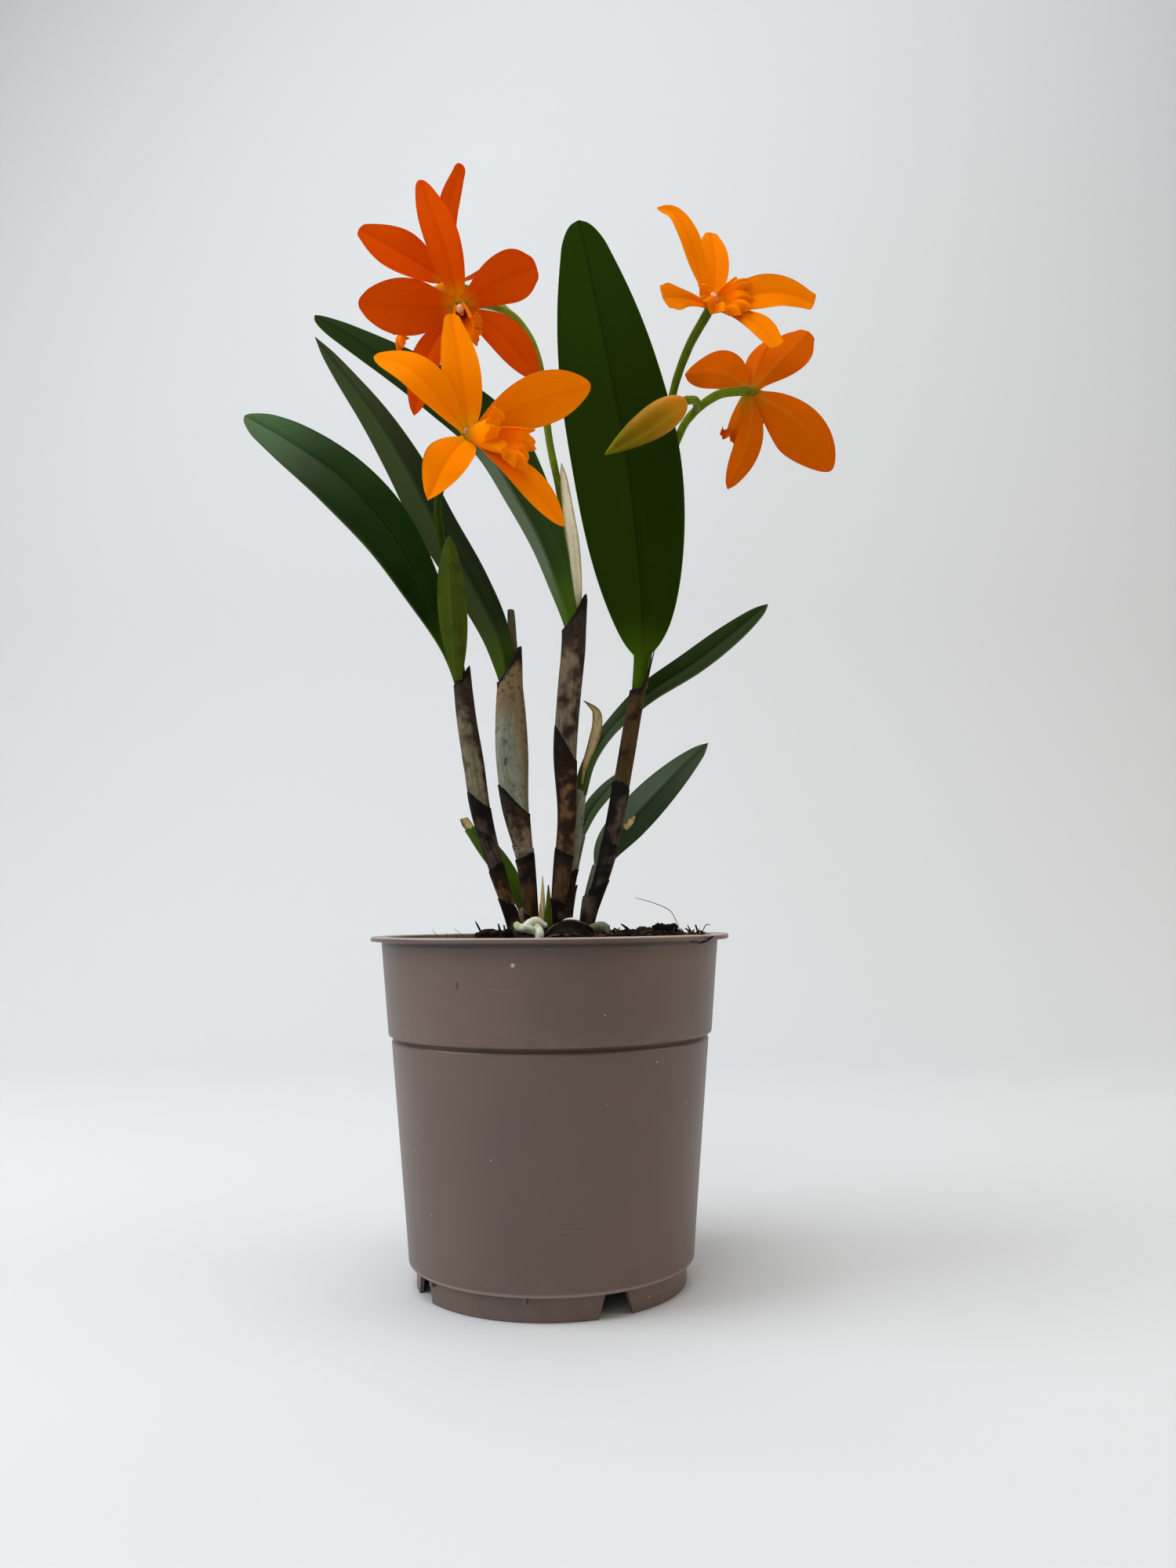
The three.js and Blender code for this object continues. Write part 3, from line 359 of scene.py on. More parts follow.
# %% Sheets, blades and tubes
def sheet(middle, thickness, finish, **facts):
    """A closed thin form round a grid of points. `thickness` is in mm, for each of them."""
    rows, columns = middle.shape[:2]
    up = np.cross(np.gradient(middle, axis=0), np.gradient(middle, axis=1))
    steep = np.linalg.norm(up, axis=-1) < 1e-6
    up[steep] = up[rows // 2, columns // 2]
    up = unit(up) * np.broadcast_to(thickness, (rows, columns))[..., None] / 2
    count = rows * columns
    index = np.arange(count).reshape(rows, columns)
    rim = np.concatenate([index[:-1, 0], index[-1, :-1], index[:0:-1, -1], index[0, :0:-1]])
    after = np.roll(rim, -1)
    faces = np.vstack([
        grid_faces(rows, columns),
        grid_faces(rows, columns, first=count)[:, ::-1],
        np.stack([rim, after, after + count, rim + count], -1)[:, ::-1],
    ])
    both = {name: np.concatenate([np.broadcast_to(v, (rows, columns)).ravel()] * 2) for name,
            v in facts.items()}
    both["under"] = np.repeat([0.0, 1.0], count)
    return form(np.concatenate([(middle + up).reshape(-1, 3), (middle - up).reshape(-1, 3)]),
                faces, finish, **both)


def blade(spine, faces, width, finish, *, peak=0.5, fullness=0.6, root=0.3, tip=0.1, fold=0.15, stalk=0.0,
          taper=0.05, cup=0.0, lean=0.0, wave=0.0, waves=2.5, phase=0.0, groove=0.0, groove_width=0.8,
          thick=0.7, rim=0.3, rows=72, columns=25, tone=0.0, notch=0.0):
    """A leaf, petal or bract. `faces` is where its upper face looks at the root and at the tip."""
    even = np.linspace(0, 1, rows)
    t = even + 0.6 * ((1 - np.cos(np.pi * even)) / 2 - even)  # closer together at the ends
    line, length = line_at(spine, t)
    tangent = unit(np.gradient(line, axis=0))
    face = np.array(faces[0], float) + t[:, None] * (np.array(faces[1], float) - np.array(faces[0], float))
    face = unit(face - tangent * np.sum(face * tangent, axis=1, keepdims=True))
    side = np.cross(face, tangent)
    grown = np.clip((t - stalk) / (1 - stalk), 0, 1)
    swell = np.clip(np.sin(np.pi * grown ** (math.log(0.5) / math.log(peak))), 0, 1) ** fullness
    half = width / 2 * (swell ** 4 + (root + (tip - root) * grown) ** 4) ** 0.25  # a soft maximum has no kink
    half *= np.sqrt(np.clip(1 - (np.clip(t - 1 + taper, 0, 1) / taper) ** 2, 0.004, 1))
    u = np.linspace(-1, 1, columns) + 0 * half[:, None]
    out = u * half[:, None] * (1 + lean * np.sign(u) * np.sin(np.pi * t[:, None]))
    soft_fold = np.sqrt(u ** 2 + 0.07 ** 2) - 0.07
    lift = (fold * soft_fold + cup * u ** 2) * half[:, None]
    swing = np.sin(2 * np.pi * waves * t[:, None] + phase + 1.7 * (u > 0))
    lift += wave * np.abs(u) ** 3 * swing * np.sin(np.pi * t[:, None]) ** 0.5
    lift -= groove * np.exp(-(out / groove_width) ** 2) * np.sin(np.pi * np.clip(t * 1.02, 0, 1))[:,
                                                                                                  None] ** 0.3
    back = notch * half[:, None] * np.exp(-(u / 0.35) ** 2) * eased((t[:, None] - 0.8) / 0.2)
    middle = (line[:, None] + side[:, None] * out[..., None] + face[:, None] * lift[..., None]
              - tangent[:, None] * back[..., None])
    thickness = rim + (thick - rim) * (1 - np.abs(u) ** 4) * np.sqrt(np.clip(half[:, None] / half.max(), 0,
                                                                             1))
    return sheet(middle, thickness, finish, along=t[:, None] * length, across=out, share=t[:, None],
                 edge=half[:, None] * (1 - np.abs(u)), tone=tone)


def tube(points, radius, finish, *, sides=20, rows=60, tone=0.0, relief=None):
    """A round form along a curve. `radius` is one number, or one for each chosen point."""
    start = np.column_stack([np.array(points, float), np.broadcast_to(radius, len(points))])
    even = np.linspace(0, 1, rows)
    stations, length = line_at(start, even)
    line, r = stations[:, :3], stations[:, 3]
    tangent = unit(np.gradient(line, axis=0))
    caps = np.sin(np.linspace(0, np.pi / 2, 5)[:-1])  # rounds the ends off over a quarter circle
    shrink = np.sqrt(1 - caps ** 2)
    line = np.vstack([line[0] - tangent[0] * r[0] * caps[::-1, None], line[1:-1],
                      line[-1] + tangent[-1] * r[-1] * caps[:, None]])
    r = np.concatenate([r[0] * shrink[::-1], r[1:-1], r[-1] * shrink])
    tangent = np.vstack([tangent[[0] * 4], tangent[1:-1], tangent[[-1] * 4]])
    share = np.concatenate([[0] * 4, even[1:-1], [1] * 4])
    across = unit(np.cross(tangent[0], [0.3, 1.0, 0.2]))
    frames = []
    for way in tangent:
        across = unit(across - way * np.dot(across, way))
        frames.append((across, np.cross(way, across)))
    first, second = (np.array(f)[:, None] for f in zip(*frames))
    angle = full_turn(sides)
    spread = r[:, None] * (1 + (relief(share[:, None], angle) if relief else 0 * angle))
    rings = (line[:, None] + first * (spread * np.cos(angle))[..., None]
             + second * (spread * np.sin(angle))[..., None])
    grid = np.ones((len(r), sides))
    return form(rings, capped_faces(len(r), sides), finish, along=share[:, None] * length * grid,
                across=r[:, None] * angle, share=share[:, None] * grid, edge=40 * grid, tone=tone)


def rough_line(seed, waves, count):
    """A repeatable wavy line from about -1 to 1 over `count` steps, the same at both ends."""
    random = np.random.default_rng(seed)
    turn = np.linspace(0, 2 * np.pi, count)
    total = sum(np.sin(k * turn + random.uniform(0, 7)) / math.sqrt(k) for k in waves)
    return total / max(1.0, len(waves) ** 0.5)


print("a test blade has", len(blade([[0, 0, 0], [0, 0, 9]], [[0, -1, 0]] * 2, 4, None)["faces"]), "faces")


# %% [markdown]
# ## The pot's plastic
#
# A nursery pot is injection-moulded polypropylene, much of it recycled, so the taupe is slightly uneven. It
# comes out of the mould satin: the skin has a fine grain that spreads a highlight without hiding it. After a
# season on a bench it has hair-fine scuffs round its width, a few pale lime specks, and dust where the wall
# steps in. All of that is drawn by noise in the pot's own space, because a picture would show its seams.

# %% The pot's plastic
POT = {"height": 111.8, "lip_radius": 60.0, "lip_thick": 1.5, "top_radius": 56.4, "step_height": 80.1,
       "step_radius": 53.6, "step_in": 0.9, "belly_height": 20.0, "belly_radius": 47.6, "heel_height": 11.0,
       "heel_radius": 46.8, "foot_height": 7.6, "foot_radius": 44.0, "wall": 1.2}
LIME_SPECK = (-0.0092, -0.0550, 0.1038)  # a drip that dried on the front
SCRATCH = (-0.0261, -0.0486, 0.0977)  # where a tool caught the wall
SCRATCH_SQUASH = (4.0, 1.0, 1.0)  # makes it a quarter as wide as it is tall
DUST_HEIGHTS = ((90, 79), (24, 0))  # from no dust to most of it, on the ledge and over the foot
# bands of painted shade under the lip, below it and in the step's groove: height, half width, softness, share
PAINTED_SHADE_BANDS = ((109.5, 0.8, 0.5, 0.88), (107.6, 1.4, 2.6, 0.36), (POT["step_height"] - 1.5, 0.8, 0.3, 0.5))
# bands of painted highlight along the lip's top and the heel's edge, partly pale wear: height, half width,
# softness, share
EDGE_HIGHLIGHTS_AND_WEAR = ((111.6, 0.25, 0.15, 0.7), (8.1, 0.4, 0.4, 0.4))


def height_band(add, height, middle, half, soft, most):
    """`most` within `half` mm of a height, fading out over twice `soft`."""
    off = add("Math", {0: height, 1: middle * MM}, operation="SUBTRACT")
    away = add("Math", {0: off}, operation="ABSOLUTE")
    return add("MapRange", {"Value": away, "From Min": (half + soft) * MM, "From Max": (half - soft) * MM,
                            "To Max": most})


def settled_dust(add, place, height):
    """Dust in smears on the ledge of the step and in the corner over the foot."""
    smear = add("TexNoise", {"Vector": place, "Scale": per(7), "Detail": 5.0, "Roughness": 0.7})
    ledge, low = (add("MapRange", {"Value": height, "From Min": none * MM, "From Max": full * MM,
                                   "To Max": 0.16},
                      interpolation_type="SMOOTHSTEP") for none, full in DUST_HEIGHTS)
    above_step = add("Math", {0: height, 1: (POT["step_height"] - 1.3) * MM}, operation="GREATER_THAN")
    ledge_dust = add("Math", {0: ledge, 1: above_step}, operation="MULTIPLY")
    all_dust = add("Math", {0: ledge_dust, 1: low}, operation="ADD")
    patchy = add("MapRange", {"Value": smear, "From Min": 0.42, "From Max": 0.72})
    return add("Math", {0: all_dust, 1: patchy}, operation="MULTIPLY")


def pot_plastic():
    material, add = new_material("polypropylene_moulded_satin")
    place, = read_facts(add)
    height = add("SeparateXYZ", {"Vector": place}).outputs["Z"]
    taupe = clouded(add, place, colour("#594a43"), "#645146", 48, 3.0, 0.3, 0.7)
    dust = settled_dust(add, place, height)
    dusty = add("Mix", {"Factor": dust, "A": taupe, "B": colour("#8f8378")})
    # scuffs run round the pot, so their noise is stretched across and squeezed upwards
    squeezed = add("Mapping", {"Vector": place, "Scale": (per(26), per(26), per(0.9)),
                               "Rotation": (0.05, 0.12, 0.0)})
    scuff_noise = add("TexNoise", {"Vector": squeezed, "Scale": 1.0, "Detail": 3.0})
    scuffs = add("MapRange", {"Value": scuff_noise, "From Min": 0.69, "From Max": 0.76, "To Max": 0.35})
    scuffed = add("Mix", {"Factor": scuffs, "A": dusty, "B": colour("#7a6c64")})
    # lime: pale dots under half a millimetre, about one to each square centimetre, and one larger drip
    cells = add("TexVoronoi", {"Vector": place, "Scale": per(8.5)})
    dots = add("MapRange", {"Value": cells, "From Min": 0.035, "From Max": 0.02})
    drip = add("VectorMath", {0: place, 1: LIME_SPECK}, operation="DISTANCE").outputs["Value"]
    drip_spot = add("MapRange", {"Value": drip, "From Min": 0.8 * MM, "From Max": 0.35 * MM})
    pale = add("Math", {0: dots, 1: drip_spot}, operation="MAXIMUM")
    limed = add("Mix", {"Factor": pale, "A": scuffed, "B": colour("#b9b1a6")})
    from_nick = add("VectorMath", {0: place, 1: SCRATCH}, operation="SUBTRACT")
    squashed = add("VectorMath", {0: from_nick, 1: SCRATCH_SQUASH}, operation="MULTIPLY")
    nick = add("VectorMath", {0: squashed}, operation="LENGTH").outputs["Value"]
    nicked = laid_over(add, limed, "#2a2320", nick, 1.6 * MM, 1.0 * MM, 0.85)
    # painted shade under the lip and in the step's groove; painted highlights along the lip's top and the
    # heel's edge, partly pale wear from handling
    lip_painted_shade, neck_painted_shade, step_painted_shade = (height_band(add, height, *band) for band in PAINTED_SHADE_BANDS)
    under_lip_painted_shade = add("Math", {0: lip_painted_shade, 1: neck_painted_shade}, operation="MAXIMUM")
    painted_shade = add("Math", {0: under_lip_painted_shade, 1: step_painted_shade}, operation="MAXIMUM")
    with_painted_shade = add("Mix", {"Factor": painted_shade, "A": nicked, "B": colour("#33261f")})
    lip_highlight_and_wear, heel_highlight_and_wear = (height_band(add, height, *band) for band in EDGE_HIGHLIGHTS_AND_WEAR)
    edge_highlight_and_wear = add("Math", {0: lip_highlight_and_wear, 1: heel_highlight_and_wear}, operation="MAXIMUM")
    tint = add("Mix", {"Factor": edge_highlight_and_wear, "A": with_painted_shade, "B": colour("#b3a297")})
    # the mould's grain is about half a millimetre, and the wall wavers by a few tenths as it cools
    grain = grained(add, place, 0.45, 2.0, 0.25, 0.05)
    bump = grained(add, place, 18, 1.0, 0.35, 0.4, grain)
    worn = add("Math", {0: dust, 1: scuffs}, operation="ADD")
    rough = add("MapRange", {"Value": worn, "From Max": 0.6, "To Min": 0.40, "To Max": 0.7})
    return with_surface(material, add, {"Base Color": tint, "Roughness": rough, "IOR": 1.49, "Normal": bump})


POT_PLASTIC = pot_plastic()
print("the mould's grain:", round(per(0.45)), "to the metre")

# %% [markdown]
# ## The pot
#
# The pot is one turned shape: a thin flange for a lip, a wall that steps in a third of the way down so that
# pots stack, a rounded heel and a foot ring with four gaps that let water out. Its outline is spun round in
# the code rather than with a Screw modifier, because the foot's gaps then cut straight into the ring:
# columns stand exactly at each gap's corners, and the ring's lower edge is lifted there. Every corner is a
# small arc, since moulded plastic has no sharp edge, and that arc is what catches the light.

# %% The pot
FOOT_GAP = {"count": 4, "azimuth": 27.5, "bottom": 11.7, "top": 7.0, "height": 7.2}
FOOT_RIB = {"count": 8, "azimuth": -8.6, "size": (1.6, 2.6, 2.8)}
DRAIN = {"count": 8, "radius": 3.5, "circle": 30.0, "sides": 40, "drilled": (6.0, 10.4)}
ARC_STEPS = 5
LONGEST_STRIP = 5.0


def rounded_outline(corners):
    """The outline through (radius, height, size of the rounding) with an arc at each corner."""
    line = []
    for k, (r, z, size) in enumerate(corners):
        here = np.array([r, z])
        if size == 0:
            line.append(here)
            continue
        before = unit(np.array(corners[k - 1][:2]) - here)
        after = unit(np.array(corners[k + 1][:2]) - here)
        line.append(here + before * size * 1.35)
        for s in np.linspace(0, 1, ARC_STEPS):
            line.append(here + before * size * (1 - s) ** 2 + after * size * s ** 2)
        line.append(here + after * size * 1.35)
    full = [line[0]]
    for a, b in zip(line, line[1:]):
        pieces = max(1, math.ceil(np.linalg.norm(b - a) / LONGEST_STRIP))
        full += [a + (b - a) * s for s in np.linspace(0, 1, pieces + 1)[1:]]
    return np.array(full)


def pot_outline():
    p, wall = POT, POT["wall"]
    foot, heel, belly = p["foot_radius"], p["heel_radius"], p["belly_radius"]
    under_step = p["step_radius"] - p["step_in"]
    return rounded_outline([
        (0, p["foot_height"], 0),
        (foot - wall, p["foot_height"], 0.4),
        (foot - wall, 0, 0.3),
        (foot, 0, 0.3),
        (foot, p["foot_height"] - 0.3, 0.4),
        (heel - 0.2, p["foot_height"] - 0.1, 0.9),
        (heel + 0.1, p["heel_height"] + 0.6, 1.2),
        (belly, p["belly_height"], 2.0),
        (under_step, p["step_height"] - 2.4, 0.4),
        (under_step - 0.9, p["step_height"] - 1.3, 0.25),
        (p["step_radius"] + 0.15, p["step_height"] - 0.35, 0.4),
        (p["top_radius"], p["height"] - p["lip_thick"], 0.6),
        (p["lip_radius"], p["height"] - p["lip_thick"] - 0.1, 0.55),
        (p["lip_radius"], p["height"], 0.55),
        (p["top_radius"] - wall, p["height"] - 0.05, 0.5),
        (under_step - wall, p["step_height"], 0.5),
        (belly - wall, p["belly_height"], 1.5),
        (heel - wall, p["heel_height"], 0.8),
        (heel - wall - 0.6, p["foot_height"] + wall, 0.5),
        (0, p["foot_height"] + wall, 0),
    ])


def pot_body():
    gap = FOOT_GAP
    centres = [gap["azimuth"] + 360 * k / gap["count"] for k in range(gap["count"])]
    to_degrees = math.degrees(1 / POT["foot_radius"])
    corners = [c + side * width / 2 * to_degrees for c in centres for side in (-1, 1)
               for width in (gap["bottom"], gap["top"])]
    azimuths = np.array(sorted({*np.arange(0, 360, 1.0), *[round(c % 360, 4) for c in corners]}))
    away = np.min([np.abs((azimuths - c + 180) % 360 - 180) for c in centres], axis=0) / to_degrees
    slope = (gap["bottom"] / 2 - away) / (gap["bottom"] / 2 - gap["top"] / 2)
    lifted = gap["height"] * np.clip(slope, 0, 1)
    outline = pot_outline()[1:-1]
    turn = np.radians(azimuths)
    r, z = (outline[:, k][:, None] + 0 * turn for k in (0, 1))
    ring = (r > POT["foot_radius"] - POT["wall"] - 0.01) & (z < POT["foot_height"] - 0.35) & (
        np.arange(len(outline))[:, None] < len(outline) // 2)
    z = np.where(ring, np.maximum(z, np.minimum(lifted, POT["foot_height"] - 0.4) * (r > 0)), z)
    flange = np.clip((r - POT["top_radius"]) / 3.6, 0, 1)
    z = z - flange * (0.16 + 0.16 * np.sin(2 * turn + 1.1) + 0.06 * np.sin(7 * turn))
    r = r + flange * 0.10 * np.sin(5 * turn + 0.6) - 0.10 * flange
    points = np.stack([r * np.sin(turn), -r * np.cos(turn), z], -1)
    rows, columns = r.shape
    faces = [*grid_faces(rows, columns, round_columns=True)]
    first, last = rows * columns, rows * columns + 1
    for j in range(columns):
        following = (j + 1) % columns
        faces.append((first, following, j))
        faces.append((last, (rows - 1) * columns + j, (rows - 1) * columns + following))
    ends = [[0, 0, POT["foot_height"]], [0, 0, POT["foot_height"] + POT["wall"]]]
    return form(np.vstack([points.reshape(-1, 3), ends]), faces, POT_PLASTIC)


def block_form(middle, size, azimuth, finish, rounding=0.35):
    """A small block with soft edges, turned to face an azimuth."""
    angle = full_turn(16)
    rise = np.linspace(-1, 1, 7)[:, None]
    narrow = (1 - np.abs(rise) ** 6) ** rounding
    x = np.sign(np.cos(angle)) * np.abs(np.cos(angle)) ** rounding * size[0] / 2 * narrow
    y = np.sign(np.sin(angle)) * np.abs(np.sin(angle)) ** rounding * size[1] / 2 * narrow
    a = math.radians(azimuth)
    points = np.stack([x * math.cos(a) - y * math.sin(a), x * math.sin(a) + y * math.cos(a),
                       size[2] / 2 * rise + 0 * angle], -1) + np.array(middle)
    return form(points, capped_faces(len(rise), len(angle)), finish)


def drilled(piece, cutters):
    """Cuts the cutters out of a piece, and leaves the plain mesh."""
    tool = bpy.data.objects.new("drill", bpy.data.meshes.new("drill"))
    points = np.vstack([c["points"] for c in cutters]) * MM
    starts = np.cumsum([0] + [len(c["points"]) for c in cutters])
    tool.data.from_pydata(points, [], [[s + k for k in f] for s,
                                       c in zip(starts, cutters) for f in c["faces"]])
    bpy.context.scene.collection.objects.link(tool)
    cut = piece.modifiers.new("drain_holes", "BOOLEAN")
    cut.object, cut.operation, cut.solver = tool, "DIFFERENCE", "EXACT"
    result = bpy.data.meshes.new_from_object(piece.evaluated_get(bpy.context.evaluated_depsgraph_get()))
    piece.modifiers.clear()
    piece.data = result
    bpy.data.objects.remove(tool)
    result.shade_smooth()
    return piece


def pot_piece():
    ribs = []
    for k in range(FOOT_RIB["count"]):
        azimuth = FOOT_RIB["azimuth"] + 360 * k / FOOT_RIB["count"]
        out = POT["foot_radius"] + 0.1
        a = math.radians(azimuth)
        middle = (out * math.sin(a), -out * math.cos(a), POT["foot_height"] - FOOT_RIB["size"][2] / 2 + 0.4)
        ribs.append(block_form(middle, FOOT_RIB["size"], azimuth, POT_PLASTIC))
    drills = []
    for k in range(DRAIN["count"]):
        a = 2 * math.pi * k / DRAIN["count"]
        x, y = DRAIN["circle"] * math.sin(a), -DRAIN["circle"] * math.cos(a)
        angle = full_turn(DRAIN["sides"])
        ring = np.stack([x + DRAIN["radius"] * np.cos(angle), y + DRAIN["radius"] * np.sin(angle)], -1)
        ends = [np.column_stack([ring, np.full(len(ring), z)]) for z in DRAIN["drilled"]]
        drills.append(form(np.vstack(ends), capped_faces(len(ends), len(ring)), None))
    piece = make_piece("pot_moulded", [pot_body(), *ribs], ["pot"])
    return drilled(piece, drills)


pot = pot_piece()
print("pot faces after drilling:", len(pot.data.polygons))

# %% [markdown]
# ## Bark, crumbs and fibres
#
# Orchid roots want air, so the pot is filled with chopped conifer bark and not with earth. Chips are split
# along the grain: flat, blunt at the sides and torn at the ends, near black where they are wet. Coarse
# crumbs and peat fibres fill the cracks. A hidden lumpy bed fills the pot, and the chips are laid on it one
# by one at seeded places, so that each catches the light its own way. A displaced surface would give lumps
# without undersides.

# %% The bark's finishes
def bark_material(name, wet, dry, grain_mm):
    # Split conifer bark: fibres along each chip, wet hollows nearly black, dry ridges brown and dusty.
    material, add = new_material(name)
    place, tone = read_facts(add, "tone")
    lump = add("TexNoise", {"Vector": place, "Scale": per(grain_mm * 5), "Detail": 5.0, "Roughness": 0.65})
    grain = add("TexNoise", {"Vector": place, "Scale": per(grain_mm), "Detail": 4.0, "Distortion": 1.2})
    mixed = add("Math", {0: lump, 1: grain}, operation="ADD")
    toned = add("Math", {0: mixed, 1: tone}, operation="ADD")
    tint = laid_over(add, colour(wet), dry, toned, 1.0, 2.0)
    bump = add("Bump", {"Height": mixed, "Strength": 0.9, "Distance": 0.5 * MM})
    return with_surface(material, add, {"Base Color": tint, "Roughness": 0.9, "IOR": 1.2, "Normal": bump})


BARK = bark_material("conifer_bark_split", "#0c0806", "#3e2c20", 0.7)
PEAT = bark_material("peat_crumbs_damp", "#0e0a07", "#332817", 0.4)
FIBRE = bark_material("peat_fibre_dry", "#2a2014", "#7c6844", 0.3)
print("bark grain:", round(per(0.7)), "to the metre")

# %% Bark, crumbs and fibres
FILL = {"left": 105.5, "right": 108.8, "mound": 3.0, "mound_radius": 22.0, "radius": 54.0, "bottom": 9.1}
CHIPS = {"count": 330, "long": (4.5, 12.0), "seed": 7}
CRUMBS = {"count": 620, "size": (0.7, 2.3), "seed": 11}
FIBRES = {"count": 46, "long": (4.0, 11.0), "seed": 5}
LITTER = {"count": 300, "x": (9, 50), "y": (-32, 6), "long": (2.0, 6.5),
          "seed": 23}  # sticks and moss by the rim
HIGH_CHIPS = [  # x, y, top, long, broad, thick, turn, tone: those that show over the rim
    (-20, -8, 113.9, 6, 4.5, 3.4, 0.4, 0.3), (-17.4, -9.5, 113.4, 5, 4, 3, 1.3, 0.1),
    (-22.8, -6, 112.9, 5, 3.5, 2.6, 2.2, 0.2), (-14, -11, 113.4, 5, 3.5, 3, 0.9, -0.4),
    (-12.6, -8, 113.8, 5, 4, 3, 1.9, -0.5), (-6, -18, 111.2, 8, 5, 2.4, 0.2, 0),
    (5, -17, 111.2, 7, 4, 2.2, 1.4, 0),
    (20, 3, 112.8, 6, 4, 3, 2.6, 0), (23.6, 5, 112.8, 6, 4, 3, 0.8, 0.2), (27.4, 3, 113.2, 6, 5, 3, 0.3, 0.1),
    (32.0, 1, 114.0, 6.5, 5, 5.2, 0.15, 0.7), (37.4, 0.6, 114.9, 4.6, 5, 5.8, 0.5, -0.9),
    (41.0, 0.8, 114.8, 4.6, 5, 5.6, 1.2, -0.9),
    (48.6, 5, 111.6, 5, 4, 2.4, 1.9, 0.3), (17, -13, 111.6, 9, 5, 2.6, 2.7, 0),
    (10, -18, 111.4, 7, 4, 2.4, 0.7, 0),
]
TWIGS = [  # radius, then points: bits of bark and root that stand up at the rim, and one long dry root hair
    (0.36, [[-23.2, 0, 109], [-23.6, 0, 112.8], [-24.4, 0, 114.6], [-25.3, 0, 116.3]]),
    (0.5, [[-16.0, -6, 109], [-16.5, -6, 112.8], [-17.1, -6, 115.4]]),
    (0.42, [[-14.2, -6, 109], [-14.7, -6, 112.5], [-15.3, -6, 115.0]]),
    (0.4, [[-11.6, -9, 110], [-12.4, -9, 113.0], [-12.2, -9, 115.2]]),
    (0.5, [[29.0, 4, 110.6], [26.6, 4, 113.2], [24.4, 4, 114.9]]),
    (0.4, [[21.6, 1, 110], [20.4, 1, 112.8], [19.2, 1, 114.0]]),
    (0.3, [[49.0, 10, 109.5], [48.4, 10, 112.4], [47.5, 10, 114.3]]),
    (0.17, [[52.4, 9, 109.5], [52.9, 9.6, 112.8], [53.9, 10, 114.4], [55.2, 8, 114.5]]),
    (0.14, [[50.8, 8, 110], [50.6, 8, 112.2], [51.6, 8, 113.4]]),
    (0.13, [[44.3, 12, 114.5], [41.7, 12, 119.3], [36.2, 12, 122.1], [29.4, 12, 124.1]]),
    (0.13, [[44.3, 12, 114.6], [44.6, 11, 112.8], [44.0, 8, 110.0]]),
]


def bed_height(x, y):
    slope = FILL["left"] + (FILL["right"] - FILL["left"]) * (x / POT["top_radius"] + 1) / 2
    mound = FILL["mound"] * np.exp(-(np.hypot(x, y) / FILL["mound_radius"]) ** 2)
    ripple = 0.5 * np.sin(0.61 * x + 0.9) * np.sin(0.53 * y + 0.2) + 0.35 * np.sin(1.27 * x - 0.8 * y)
    return slope + mound + ripple


def bark_bed():
    """The filling of the pot, closed, from the drain holes up to the lumpy top."""
    heights = [(FILL["bottom"], POT["heel_radius"] - 2.4), (POT["heel_height"] + 1, POT["heel_radius"] - 1.5),
               (POT["belly_height"], POT["belly_radius"] - 1.5),
               (POT["step_height"], POT["step_radius"] - POT["step_in"] - 1.55),
               (101.0, FILL["radius"] - 0.15)]
    angle = full_turn(160)
    rings = [np.stack([r * np.cos(angle), r * np.sin(angle), z + 0 * angle], -1) for z, r in heights]
    for reach in np.linspace(1, 0.02, 46):
        x, y = FILL["radius"] * reach * np.cos(angle), FILL["radius"] * reach * np.sin(angle)
        rings.append(np.stack([x, y, bed_height(x, y)], -1))
    return form(np.array(rings), capped_faces(len(rings), len(angle)), PEAT, tone=-0.1)


def turned(points, lean, tilt, spin):
    """Points turned about X, then Y, then Z."""
    for angle, (i, j) in ((lean, (1, 2)), (tilt, (2, 0)), (spin, (0, 1))):
        a, b = points[..., i].copy(), points[..., j].copy()
        points[..., i] = a * math.cos(angle) - b * math.sin(angle)
        points[..., j] = a * math.sin(angle) + b * math.cos(angle)
    return points


def bark_chip(middle, size, turns, finish, random, rows=8, sides=10, tone=0.0):
    """A split flake: flat, blunt along its sides and torn at its two ends."""
    s = np.linspace(-1, 1, rows)[:, None]
    angle = full_turn(sides) + 0.2
    full = (1 - np.abs(s) ** 5) ** 0.45 * 0.96 + 0.04
    torn = 1 + 0.16 * random.normal(size=(1, sides)) * np.abs(s) ** 3
    wavy = 1 + 0.10 * random.normal(size=(rows, sides))
    x = size[0] / 2 * s * torn
    y = size[1] / 2 * np.sign(np.cos(angle)) * np.abs(np.cos(angle)) ** 0.6 * full * wavy
    bow = 0.12 * size[0] * s ** 2 * random.uniform(-0.6, 1)
    z = size[2] / 2 * np.sign(np.sin(angle)) * np.abs(np.sin(angle)) ** 0.6 * full * wavy - bow
    points = turned(np.stack([x + 0 * angle, y, z], -1), *turns) + np.array(middle)
    return form(points, capped_faces(rows, sides), finish, tone=tone + random.uniform(-0.35, 0.35))


def spot_on_bed(random, radius):
    """A random place on the bed, evenly spread within a radius."""
    reach, around = radius * math.sqrt(random.random()), random.uniform(0, 2 * np.pi)
    x, y = reach * math.cos(around), reach * math.sin(around)
    return x, y, bed_height(x, y)


